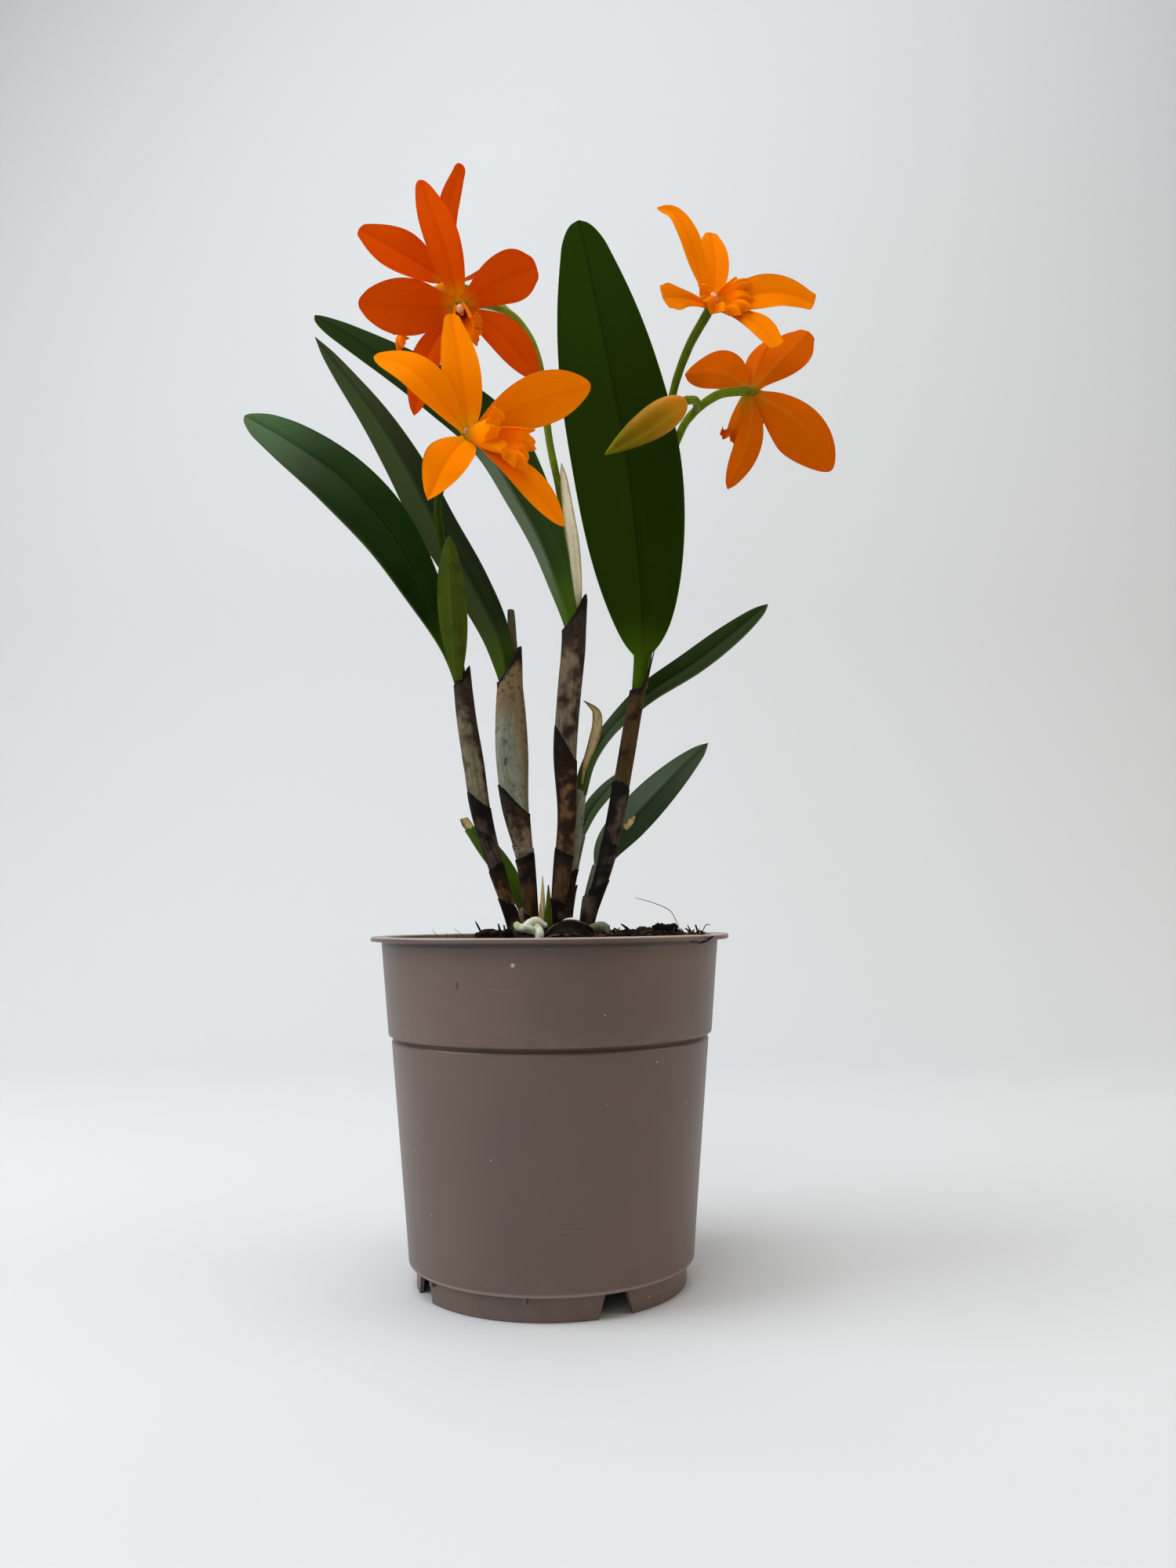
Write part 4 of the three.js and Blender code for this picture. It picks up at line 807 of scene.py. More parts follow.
def bark_fill():
    forms = [bark_bed()]
    random = np.random.default_rng(CHIPS["seed"])
    for _ in range(CHIPS["count"]):
        long = CHIPS["long"][0] + (CHIPS["long"][1] - CHIPS["long"][0]) * random.random() ** 1.6
        broad, thick = long * random.uniform(0.4, 0.7), min(3.6, long * random.uniform(0.2, 0.36))
        x, y, z = spot_on_bed(random, FILL["radius"] - long / 2 - 0.6)
        middle = (x, y, z + thick * random.uniform(0.0, 0.5))
        turns = (*random.normal(0, 0.3, 2), random.uniform(0, np.pi))
        forms.append(bark_chip(middle, (long, broad, thick), turns, BARK, random))
    for x, y, top, long, broad, thick, spin, tone in HIGH_CHIPS:
        turns = (*random.normal(0, 0.15, 2), spin)
        forms.append(bark_chip((x, y, top - thick / 2), (long, broad, thick), turns, BARK, random, 14, 18,
                               tone))
    random = np.random.default_rng(CRUMBS["seed"])
    for _ in range(CRUMBS["count"]):
        size = random.uniform(*CRUMBS["size"])
        x, y, z = spot_on_bed(random, FILL["radius"] - 1.6)
        middle = (x, y, z + random.uniform(0.3, 2.6))
        forms.append(bark_chip(middle, (size * 1.5, size, size * 0.8), random.uniform(0, 3, 3), PEAT, random,
                               5, 7))
    random = np.random.default_rng(FIBRES["seed"])
    for _ in range(FIBRES["count"]):
        long = random.uniform(*FIBRES["long"])
        foot = np.array(spot_on_bed(random, 50)) + (0, 0, 1.0)
        way = np.array([*random.normal(0, 0.55, 2), random.uniform(0.1, 0.75)])
        bow = random.normal(0, 0.16, 3) * long
        line = [foot + way * long * s + bow * s * (1 - s) for s in (0, 0.35, 0.7, 1)]
        if np.hypot(line[-1][0], line[-1][1]) < FILL["radius"] - 0.5:
            tone = random.uniform(-0.3, 0.3)
            forms.append(tube(line, [0.16, 0.14, 0.1, 0.06], FIBRE, sides=6, rows=12, tone=tone))
    random = np.random.default_rng(LITTER["seed"])
    for _ in range(LITTER["count"]):
        x, y = random.uniform(*LITTER["x"]), random.uniform(*LITTER["y"])
        middle = np.array([x, y, bed_height(x, y) + random.uniform(1.2, 3.6)])
        around, rise = random.uniform(0, np.pi), random.normal(0, 0.35)
        half = random.uniform(*LITTER["long"]) / 2 * np.array([math.cos(around), math.sin(around), rise])
        line = [middle - half, middle + random.normal(0, 0.3, 3), middle + half]
        finish = FIBRE if random.random() < 0.7 else BARK
        tone = random.uniform(-0.4, 0.6)
        forms.append(tube(line, [0.28, 0.34, 0.16], finish, sides=6, rows=10, tone=tone))
    for radius, line in TWIGS:
        finish, tone = (BARK, -0.4) if radius > 0.35 else (FIBRE, 0.2)
        forms.append(tube(line, [radius] * (len(line) - 1) + [radius * 0.6], finish, sides=8, rows=36,
                          tone=tone))
    return make_piece("bark_mix", forms, ["growing_medium"])


bark_mix = bark_fill()


# %% [markdown]
# ## Papery sheaths
#
# A young cane wears green sheaths. They die within a year and stay on as dry paper: tan to silver grey,
# finely ribbed lengthwise, spotted brown by damp, and near black where they tore and along their feet. The
# ribs are noise squeezed round the cane and stretched up it, in a space made from each point's own facts, so
# they follow every bend. The spots are noise in the plain space, so that they pay no heed to the ribs, as
# real mould doesn't.

# %% The sheaths' paper
def lengthwise_fibres(add, spacing_mm, drawn_out, detail=2.0):
    """Noise squeezed across a form and drawn out along it, by the facts of its points."""
    across, along, tone = (add("Attribute", attribute_name=fact).outputs["Fac"]
                           for fact in ("across", "along", "tone"))
    over = add("Math", {0: across, 1: 1 / spacing_mm}, operation="MULTIPLY")
    up = add("Math", {0: along, 1: drawn_out}, operation="MULTIPLY")
    flat = add("CombineXYZ", {"X": over, "Y": up, "Z": tone})
    return add("TexNoise", {"Vector": flat, "Scale": 1.0, "Detail": detail, "Roughness": 0.6})


def papery_sheath(name, pale, deep, spot, top, top_mm, cover, spot_mm, rib_mm=0.55, edge_mm=1.0):
    """Dry sheath paper, turning to `top` within `top_mm` of its edge. `cover` is the share of dark patches."""
    material, add = new_material(name)
    place, edge, share = read_facts(add, "edge", "share")
    ribs = lengthwise_fibres(add, rib_mm, 0.03 / rib_mm, detail=3.0)
    paper = laid_over(add, colour(deep), pale, ribs, 0.3, 0.7)
    stained = clouded(add, place, paper, deep, spot_mm * 3, 3.0, 0.38, 0.7, 0.75)
    # damp leaves patches with soft rims, that run into each other
    patches = add("TexNoise", {"Vector": place, "Scale": per(spot_mm * 2.4), "Detail": 2.0,
                                          "Roughness": 0.6, "Distortion": 0.2})
    limit = 0.7 - 0.36 * cover
    patched = laid_over(add, stained, spot, patches, limit - 0.09, limit + 0.09, 0.92, soft=True)
    # under the torn edge the paper is older and darker, with a ragged lower limit
    loose = add("TexNoise", {"Vector": place, "Scale": per(spot_mm), "Detail": 3.0})
    wander = add("MapRange", {"Value": loose, "From Min": 0.3, "From Max": 0.7,
                                         "To Min": -0.3 * top_mm, "To Max": 0.3 * top_mm})
    from_edge = add("Math", {0: edge, 1: wander}, operation="ADD")
    top_share = add("MapRange", {"Value": from_edge, "From Min": top_mm,
                                            "From Max": 0.4 * top_mm, "To Max": 0.9},
                                            interpolation_type="SMOOTHSTEP")
    topped = add("Mix", {"Factor": top_share, "A": patched, "B": colour(top)})
    # specks of a millimetre crowd under the edge
    specks = add("TexNoise", {"Vector": place, "Scale": per(1.7), "Detail": 3.0})
    speck_share = add("MapRange", {"Value": specks, "From Min": 0.53, "From Max": 0.63, "To Max": 0.75})
    crowding = add("MapRange", {"Value": top_share, "To Min": 0.35})
    crowded = add("Math", {0: speck_share, 1: crowding}, operation="MULTIPLY")
    specked = add("Mix", {"Factor": crowded, "A": topped, "B": colour(spot)})
    black_edge = add("MapRange", {"Value": edge, "From Min": edge_mm, "From Max": 0.5 * edge_mm,
                                             "To Max": 0.96})
    black_foot = add("MapRange", {"Value": share, "From Min": 0.05, "From Max": 0.0, "To Max": 0.8})
    black = add("Math", {0: black_edge, 1: black_foot}, operation="MAXIMUM")
    tint = add("Mix", {"Factor": black, "A": specked, "B": colour("#0b0705")})
    relief = add("Bump", {"Height": ribs, "Strength": 0.5, "Distance": 0.22 * MM})
    bump = add("Bump", {"Height": specks, "Strength": 0.25, "Distance": 0.2 * MM, "Normal": relief})
    return with_surface(material, add, {"Base Color": tint, "Roughness": 0.7, "IOR": 1.2, "Normal": bump})


PAPER = {key: papery_sheath("dry_sheath_" + key, *values) for key, values in {
    # pale, deep, spot, top, how far the top reaches, cover, size of the spots, ribs, black edge
    "smoky": ("#857c62", "#5e5644", "#170f0b", "#24130f", 17, 0.36, 4.4, 0.55, 1.6),
    "silver": ("#9a9e8b", "#727664", "#46290f", "#786444", 18, 0.15, 1.7, 0.6, 2.0),
    "blotched": ("#8a7b64", "#5f5342", "#1b110c", "#241812", 12, 0.36, 4.4, 0.55, 1.8),
    "umber": ("#523e1e", "#382810", "#140c05", "#2c1e0c", 6, 0.34, 4.0, 0.55, 2.4),
    "tan": ("#94806a", "#66543c", "#1e110b", "#24160e", 7, 0.32, 3.6),
    "rust": ("#8a6444", "#57402c", "#1a0e09", "#150c08", 12, 0.44, 3.6),
    "olive": ("#746a52", "#504632", "#2c2018", "#8c8270", 1.6, 0.2, 4.0, 0.55, 0.1),
    "brown": ("#6a4e32", "#442f1c", "#140a06", "#1e120b", 4, 0.42, 2.8),
    "black": ("#66564a", "#2c2019", "#080403", "#0a0504", 4, 0.62, 3.8),
    "cream": ("#d4c294", "#b29e6e", "#7a5c34", "#a08450", 1.0, 0.06, 3.5, 0.6, 0.05),
    "parchment": ("#ebe9d2", "#d9d3ae", "#b8aa7c", "#b4a676", 0.8, 0.02, 3.5, 0.6, 0.05),
    "dusky": ("#62593f", "#463f2d", "#2a2118", "#544c38", 1.0, 0.2, 3.0, 0.55, 0.1),
}.items()}
print("sheath papers:", ", ".join(PAPER))

# %% [markdown]
# ## Canes
#
# Each cane, or pseudobulb, is a jointed stem that swells towards the top. At each joint a sheath starts and
# wraps the cane like a sleeve, and the next one up comes out of it. The sleeves are real shells here, with an
# outer and an inner face and an oblique torn edge, because that edge throws the dark line that gives a cane
# its rhythm. The top one is drawn out to a point on one side, where the leaf left it.

# %% Canes
TOP = 2.2  # how sharply a top sheath draws out to its point
CANES = {  # stations are x, y, height and radius from the bark up
    # a sheath is from, to, rise of its oblique edge, azimuth of the high side, paper, sharpness of the point
    "cane_a": {
        "stations": [[-9.5, -9, 101, 1.8], [-11.8, -9, 115, 1.9], [-17.2, -10, 133, 2.3],
                     [-22.2, -11, 151.5, 2.9],
                     [-25, -12, 170, 3.1], [-27.2, -12.5, 184, 2.8], [-28.4, -13, 195, 2.5]],
        "sheaths": [[103, 121, 3, -60, "black"], [119, 133, 3, 70, "brown"], [131, 154, 5.5, -80, "black"],
                    [151, 195.4, 6.4, 80, "smoky", TOP]],
        "core": "smoky", "slot": "cane_mottled"},
    "cane_b": {
        "stations": [[-5.2, -2, 101, 1.8], [-6, -2, 116, 2], [-8.3, -2, 137, 2.7], [-11.6, -1, 155, 4.2],
                     [-12.8, 0, 174, 5.2], [-13.2, 0, 188, 4.7], [-13.4, 0, 197, 3.9]],
        "sheaths": [[103, 117, 2, -70, "black"], [115, 137, 2.5, 80, "brown"], [135, 141, 0.8, -80, "olive"],
                    [139.5, 152.7, 10.3, -80, "tan"], [150, 198.6, 12.8, 70, "silver", TOP]],
        "core": "silver", "slot": "cane_silvery"},
    "cane_c": {
        "stations": [[1, -4, 101, 2], [2.4, -4, 117, 2.2], [4.3, -3, 133, 2.7], [6, -2, 152, 2.8],
                     [5.6, 0, 174, 3.6], [7.2, 1, 196, 3.7], [8.6, 1.5, 210, 3.7], [9, 2, 218, 3.6]],
        "sheaths": [[103, 122, 2, -70, "black"], [120, 138, 3, -80, "brown"], [136, 171, 12.6, -80, "rust"],
                    [168, 217.6, 12.8, 70, "blotched", TOP]],
        "core": "blotched", "slot": "cane_mottled"},
    "cane_d": {
        "stations": [[10.5, -3, 101, 1.6], [12.6, -3, 115, 1.8], [18.5, -2, 134, 2.4], [22.7, -1, 152, 2.6],
                     [26.2, 0, 170, 2.5], [29.5, 1, 188, 2.3], [31.4, 2, 197, 2.2]],
        "sheaths": [[103, 127, 3, 80, "black"], [125, 141, 3, -60, "black"], [139, 160, 4, -40, "black"],
                    [158, 196, 14.8, 95, "umber", 6]],
        "core": "umber", "slot": "cane_mottled"},
    "bulb_e": {
        "stations": [[2.6, 7, 101, 2.1], [3.7, 7, 116, 2.1], [5.4, 7.4, 128, 2.6], [7.8, 8, 147, 3.4],
                     [10.2, 8, 162, 2.5]],
        "sheaths": [[103, 130, 4, 70, "tan"]], "core": "silver", "slot": "cane_silvery"},
    "bulb_f": {
        "stations": [[11, 9, 101, 2], [12.4, 9, 115, 2.2], [15, 10, 127, 2.9], [17.2, 11, 136.4, 2.4]],
        "sheaths": [[103, 121, 4, -70, "olive"]], "core": "silver", "slot": "cane_silvery"},
    "bulb_g": {
        "stations": [[4, 17, 101, 2.1], [5, 17, 120, 2.3], [7.4, 17, 135, 2.3], [10.4, 16.5, 147, 2.1]],
        "sheaths": [[103, 125, 4, 90, "tan"]], "core": "silver", "slot": "cane_silvery"},
    "bulb_h": {
        "stations": [[-7.6, 7, 101, 1.7], [-8.4, 7.5, 112, 2], [-9.8, 8, 121, 1.9]],
        "sheaths": [[103, 114, 3, -90, "brown"]], "core": "tan", "slot": "cane_mottled"},
}
CLASP, FLARE = 0.25, 0.6  # mm that a sheath stands off the cane at its foot and at its edge
ROUND = np.linspace(0, 2 * np.pi, 56, endpoint=False) + math.pi / 2  # the seam is at the back
TORN_FLAP = {"spine": [[25.6, -3.4, 147.2], [27.4, -4, 149.2], [29.2, -3.2, 151.6]],
             "faces": [[0.3, -1, 0.2]] * 2}


def cane_at(stations, z):
    """Where a cane's middle is at these heights, and its radius. It runs straight on past its top."""
    dense = smooth_line(stations)
    high = np.clip(z, stations[0][2], stations[-1][2])
    past = np.maximum(z - stations[-1][2], 0) / (dense[-1, 2] - dense[-9, 2])
    x, y, radius = (np.interp(high, dense[:, 2], dense[:, k]) for k in (0, 1, 3))
    return x + past * (dense[-1, 0] - dense[-9, 0]), y + past * (dense[-1, 1] - dense[-9, 1]), radius


def edge_rise(rise, turned, sharpness=1.5):
    """How far the oblique edge of a sheath stands above its low side."""
    return rise * ((1 + np.cos(turned)) / 2) ** sharpness


def torn(seed, count, depth):
    """A torn edge: small teeth, and a few deeper splits."""
    random = np.random.default_rng(seed)
    teeth = 0.30 * rough_line(seed, (3, 5, 8, 13, 21), count)
    at = np.linspace(0, 2 * np.pi, count)
    for split in random.uniform(0, 2 * np.pi, 4):
        teeth -= depth * random.uniform(0.4, 1) * np.exp(-((at - split) / 0.07) ** 2)
    return teeth


def cane_core(spec, seed):
    stations = spec["stations"]
    z = np.linspace(stations[0][2], stations[-1][2], 120)[:, None]
    x, y, radius = cane_at(stations, z)
    ribs = 0.011 * np.sin(19 * ROUND + 0.02 * z) + 0.008 * np.sin(31 * ROUND + 0.05 * z + seed)
    lumps = 0.015 * np.sin(0.33 * z + seed + 2 * ROUND)
    dome = np.sqrt(np.clip(1 - (np.clip(z - z[-1] + 1.2, 0, 1.2) / 1.25) ** 2, 0, 1))
    reach = radius * (1 + ribs + lumps) * dome
    rings = np.stack([x + reach * np.cos(ROUND), y + reach * np.sin(ROUND), z + 0 * ROUND], -1)
    rows, sides = reach.shape
    faces = capped_faces(rows, sides)
    grid = np.ones((rows, sides))
    return form(rings, faces, PAPER[spec["core"]], along=(z - z[0]) * grid, share=0.5 * grid, edge=40 * grid,
                across=radius * (ROUND - ROUND[0]), tone=seed * 3.7)


def sleeve(stations, sheath, seed):
    low, high, rise, azimuth, paper, *sharpness = sheath
    turned = ROUND - math.radians(azimuth - 90)
    rises = edge_rise(rise, turned, *sharpness)
    top = high + rises + torn(seed, len(ROUND), 0.8)
    s = np.concatenate([np.linspace(0, 1, 24), np.linspace(1, 0, 24)])[:, None]
    outer = np.repeat([1.0, 0.0], 24)[:, None]
    z = low + (top - low) * s
    x, y, radius = cane_at(stations, z)
    creases = 0.07 * np.sin(9 * ROUND + seed + 1.5 * s) * s + 0.05 * np.sin(23 * ROUND + 2 * seed)
    curl = 0.35 * np.exp(-((s - 1) / 0.05) ** 2) * np.clip(rough_line(seed + 9, (2, 3, 5), len(ROUND)), -0.3,
                                                           1)
    reach = radius + CLASP + (FLARE - CLASP) * s + creases + curl - (1 - outer) * (0.42 - 0.2 * s)
    reach = np.maximum(reach, radius + 0.04)
    rings = np.stack([x + reach * np.cos(ROUND), y + reach * np.sin(ROUND), z], -1)
    return form(rings, grid_faces(*reach.shape, round_rows=True, round_columns=True), PAPER[paper],
                along=z - low, across=radius * (ROUND - ROUND[0]), share=s + 0 * ROUND,
                edge=(top - z) * (1 - 0.8 * rises / rise),  # the drawn-out point is black for longer
                tone=seed * 5.3)


for number, (name, spec) in enumerate(CANES.items()):
    forms = [cane_core(spec, number + 1)]
    for k, each in enumerate(spec["sheaths"]):
        forms.append(sleeve(spec["stations"], each, 10 * number + k + 1))
    if name == "cane_d":
        forms.append(blade(**TORN_FLAP, width=2.2, finish=PAPER["cream"], peak=0.35, thick=0.35, rim=0.15,
                           root=0.7,
                           tip=0.06, rows=24, columns=13, wave=0.4, notch=0.8, tone=9))
    make_piece(name.replace("_", "") + "_sheathed", forms, [name])

# %% [markdown]
# ## Leather leaves
#
# A cattleya's leaf is thick and stiff, like wet leather: it stores water. The upper side has a wax that gives
# broad quiet highlights, and the underside is duller and more olive. The veins run side by side from root to
# tip, under a millimetre apart, and the midrib is a groove above and a keel below. The margin is a fine paler
# line. Veins are noise drawn out along the blade by the facts that it carries, so they bend as it
# bends. A leaf thinner than this would look like grass, so it is 1.5 mm through at the midrib.

# %% The leaves' finishes
def leather_leaf(name, deep, fresh, left, right, sheen, far, gloss, wax, reach=(0.45, 0.95), fresh_neck=0.7):
    """Waxed leaf skin. Below, its halves are painted `left` and `right`, the painted light and shade of the
    two sides of its fold, and towards its tip it turns to `far` between two shares of its length, a painted
    reflection on some leaves and a painted shade on others. `sheen` is a painted sheen along the veins.
    `gloss` is how smooth the wax is, and `wax` how strongly it shines."""
    material, add = new_material(name)
    place, across, along, share, edge, below = read_facts(add, "across", "along", "share", "edge", "under")
    green = clouded(add, place, colour(deep), fresh, 22, 4.0, 0.35, 0.68)
    # veins: fibres 0.9 mm apart across the blade, drawn in a painted sheen
    veins = lengthwise_fibres(add, 0.9, 0.012)
    vein_share = add("MapRange", {"Value": veins, "From Min": 0.42, "From Max": 0.7, "To Max": 0.10})
    veined = add("Mix", {"Factor": vein_share, "A": green, "B": colour(sheen)})
    # painted light and shade: on the underside one half of the fold is painted lighter and the other darker
    halves = laid_over(add, colour(left), right, across, -0.5, 0.5, soft=True)
    under_painted_light = add("Mix", {"Factor": vein_share, "A": halves, "B": colour(sheen)})
    near = add("Mix", {"Factor": below, "A": veined, "B": under_painted_light})
    # towards the tip the colour turns to `far`: painted light on some leaves, painted shade on others
    sided = laid_over(add, near, far, share, reach[0], reach[1], 0.96, soft=True)
    # the midrib is a dark thread, the margin a pale one, and the neck is young and yellower
    off_middle = add("Math", {0: across}, operation="ABSOLUTE")
    thread = add("MapRange", {"Value": off_middle, "From Min": 0.8, "From Max": 0.15,
                                         "To Max": 0.4}, interpolation_type="SMOOTHSTEP")
    ribbed = add("Mix", {"Factor": thread, "A": sided, "B": colour("#0a1503")})
    margin = add("MapRange", {"Value": edge, "From Min": 0.28, "From Max": 0.02, "To Max": 0.4})
    edged = add("Mix", {"Factor": margin, "A": ribbed, "B": colour("#5c6c2c")})
    neck = add("MapRange", {"Value": along, "From Min": 30.0, "From Max": 3.0,
                                       "To Max": fresh_neck},
                    interpolation_type="SMOOTHSTEP")
    necked = add("Mix", {"Factor": neck, "A": edged, "B": colour("#44600f")})
    # a few dry flecks, where drops of hard water stood
    flecks = add("TexNoise", {"Vector": place, "Scale": per(1.6), "Detail": 2.0})
    tint = laid_over(add, necked, "#4c5a34", flecks, 0.73, 0.80, 0.2)
    relief = add("Bump", {"Height": veins, "Strength": 0.12, "Distance": 0.15 * MM})
    skin = add("TexNoise", {"Vector": place, "Scale": per(0.6), "Detail": 2.0})
    bump = add("Bump", {"Height": skin, "Strength": 0.08, "Distance": 0.08 * MM, "Normal": relief})
    rough = add("MapRange", {"Value": below, "To Min": 1 - gloss, "To Max": 0.7})
    return with_surface(material, add, {
        "Base Color": tint, "Roughness": rough, "IOR": 1.35, "Specular IOR Level": wax, "Normal": bump,
        "Specular Tint": colour("#c4e090")})


# name, deep, fresh, the underside's painted left and right halves, the veins' painted sheen, the tip's painted
# light and shade, gloss, wax, where the tip's colour starts and ends, and the neck's share. The silver of the
# silver-green finish is a painted reflection, and the shaded finish is a painted silvery sheen near the root
# and painted shade at the tip.
LEAF = {
    "glossy": leather_leaf("leaf_waxed_deep_green", "#0a1e03", "#142f07", "#1a2e08", "#1a2e08", "#2c4426",
                           "#466440", 0.66, 0.14, (0.7, 1.0)),
    "olive": leather_leaf("leaf_waxed_olive", "#1d3202", "#243904", "#1e3002", "#1b2c02", "#2e430c",
                          "#1f3602", 0.5, 0.06),
    "keeled": leather_leaf("leaf_waxed_grey_green", "#1c3010", "#2c421c", "#334120", "#122009", "#50624a",
                           "#323f20", 0.5, 0.2),
    "painted_silver_sheen": leather_leaf("leaf_waxed_green_painted_silver_sheen", "#26361e", "#3a4a32", "#5c6c52", "#263a14", "#56664c",
                             "#182c02", 0.45, 0.06, (0.4, 0.58), 0.9),
    "grey": leather_leaf("leaf_waxed_grey", "#34442e", "#42523a", "#5c6c58", "#2e3e2c", "#66765f", "#44543f",
                         0.5, 0.15, fresh_neck=0.15),
    "shaded": leather_leaf("leaf_waxed_shaded", "#3c4c3a", "#48583f", "#3c4c3a", "#48583f", "#5c6c58",
                           "#1c2e04",
                           0.5, 0.15, (0.15, 0.5)),
    "young": leather_leaf("leaf_waxed_young_green", "#344c10", "#486018", "#344a12", "#344a12", "#56702a",
                          "#405a14", 0.5, 0.15),
}
print("leaf finishes:", ", ".join(LEAF))

# %% Leaves
LEAVES = {
    "leaf_a": {
        "spine": [[-28.6, -11.8, 193.8], [-33.6, -11, 211], [-41.6, -11, 228], [-54.2, -11, 250],
                  [-69, -10.5, 267],
                  [-87.4, -10, 281], [-104.8, -10, 291.6]],
        "faces": [[0.5, -0.85, 0.2], [0.2, -0.9, 0.4]], "finish": "glossy",
        "shape": {"width": 23.4, "peak": 0.64, "fullness": 0.54, "root": 0.2, "tip": 0.34, "fold": 0.14,
                  "groove": 0.5, "wave": 0.35, "taper": 0.06, "thick": 1.5, "rim": 0.7, "lean": 0.14}},
    "leaf_b": {
        "spine": [[-13.5, 0, 196], [-18.2, 1, 216.2], [-28, 3, 236.5], [-40.2, 5, 257.8], [-51.8, 7, 280.6],
                  [-63.4, 9, 300.3], [-75.2, 11, 317], [-86, 12, 331.5]],
        "faces": [[-0.3, 0.95, -0.1], [-0.3, 0.95, 0.0]], "finish": "keeled",
        "shape": {"width": 15.5, "peak": 0.45, "fullness": 0.65, "root": 0.36, "tip": 0.08, "fold": 0.4,
                  "groove": 0.5, "taper": 0.06, "thick": 1.4, "rim": 0.6, "wave": 0.2, "lean": 0.1}},
    "leaf_c": {
        "spine": [[8.9, 1.9, 216.6], [4.2, 2.8, 231.6], [-2.2, 4.7, 250], [-12, 7.4, 269.4],
                  [-24.2, 11.2, 290.4],
                  [-41.6, 16.4, 308.8], [-60, 22.7, 326.5], [-78.6, 28, 341.6], [-91, 32, 350.6]],
        "faces": [[0.4, 0.92, 0.1], [-0.2, 0.9, -0.3]], "finish": "painted_silver_sheen",
        "shape": {"width": 19.4, "peak": 0.54, "fullness": 0.6, "root": 0.3, "tip": 0.42, "fold": 0.3,
                  "groove": 0.5, "taper": 0.08, "thick": 1.4, "rim": 0.6, "lean": 0.55, "wave": 0.2}},
    "leaf_d": {
        "spine": [[31.3, 2.4, 195.4], [32.4, 3.6, 209], [33, 6, 225], [31.6, 7.5, 250], [28.6, 9, 282],
                  [22.3, 11, 320], [16, 13, 355], [11.8, 14, 377.6]],
        "faces": [[-0.1, 1, 0.05], [-0.1, 1, 0.15]], "finish": "olive",
        "shape": {"width": 40.4, "peak": 0.47, "fullness": 0.56, "root": 0.12, "tip": 0.36, "fold": 0.1,
                  "stalk": 0.07, "groove": 0.4, "groove_width": 1.3, "taper": 0.06, "thick": 1.6, "rim": 0.7,
                  "columns": 37, "rows": 90, "wave": 0.5, "waves": 1.6}},
    "leaf_e": {
        "spine": [[10.4, 7.6, 160.2], [13.6, 8, 171], [19.4, 10, 181], [25.4, 12, 188], [35, 15, 197],
                  [52, 21, 209], [68, 27, 222], [82, 33, 234.4]],
        "faces": [[-0.3, -0.9, 0.3], [-0.2, -0.8, 0.5]], "finish": "shaded",
        "shape": {"width": 11.3, "peak": 0.66, "fullness": 0.6, "root": 0.46, "tip": 0.14, "fold": 0.2,
                  "groove": 0.4, "taper": 0.05, "thick": 1.3, "rim": 0.6}},
    "leaf_f": {
        "spine": [[16.8, 10.8, 135], [21, 13, 143], [28.6, 15, 151.6], [38.4, 18, 162], [48.4, 22, 172],
                  [57.5, 26, 180.5]],
        "faces": [[-0.4, 0.9, -0.3], [-0.3, 0.85, -0.4]], "finish": "grey",
        "shape": {"width": 13, "peak": 0.4, "fullness": 0.6, "root": 0.3, "tip": 0.08, "fold": 0.2,
                  "groove": 0.4, "taper": 0.08, "thick": 1.3, "rim": 0.6}},
    "leaf_g": {
        "spine": [[10.3, 16.5, 145], [14, 19, 154.6], [20, 23, 162.6], [27, 29, 171]],
        "faces": [[-0.4, -0.8, 0.4], [-0.4, -0.8, 0.4]], "finish": "grey",
        "shape": {"width": 7, "peak": 0.5, "fullness": 0.6, "root": 0.35, "tip": 0.14, "fold": 0.3,
                  "groove": 0.3, "taper": 0.08, "thick": 1.2, "rim": 0.5, "rows": 48}},
    "leaf_h": {
        "spine": [[-9.7, 8, 119.5], [-13, 9.6, 128], [-18.4, 12, 136], [-24.6, 14.5, 144],
                  [-29.2, 16.5, 149.5]],
        "faces": [[0.6, -0.7, 0.3], [0.5, -0.7, 0.4]], "finish": "young",
        "shape": {"width": 9.4, "peak": 0.55, "fullness": 0.5, "root": 0.35, "tip": 0.62, "fold": 0.2,
                  "groove": 0.3, "taper": 0.03, "thick": 1.1, "rim": 0.5, "rows": 48, "notch": 0.4}},
}

CUT_END = {"spine": [[-28.2, 15.9, 148.2], [-29.8, 16.7, 150.2], [-31.4, 17.4, 153]],
           "faces": [[0.5, -0.7, 0.4]] * 2}  # leaf_h was cut off, and dried at the cut

for number, (name, spec) in enumerate(LEAVES.items()):
    forms = [blade(spec["spine"], spec["faces"], finish=LEAF[spec["finish"]], tone=number, **spec["shape"])]
    if name == "leaf_h":
        forms.append(blade(**CUT_END, width=3.6, finish=PAPER["cream"], peak=0.5, root=0.9, tip=0.95,
                           taper=0.01,
                           thick=0.8, rim=0.4, rows=20, columns=15, tone=8))
    make_piece(name.replace("_", "") + "_blade", forms, [name])

# %% [markdown]
# ## Flower sheaths and stalks
#
# A flower stalk comes up through a flat folded sheath at the root of the leaf. This year's sheath is green
# and soft-skinned, and last year's are cream paper with brown veins. The stalks are smooth and juicy, with a
# slight swelling and a small scale at each joint, and they thicken into a ribbed ovary just behind the
# flower. A scale is a short blade pressed against the stalk.

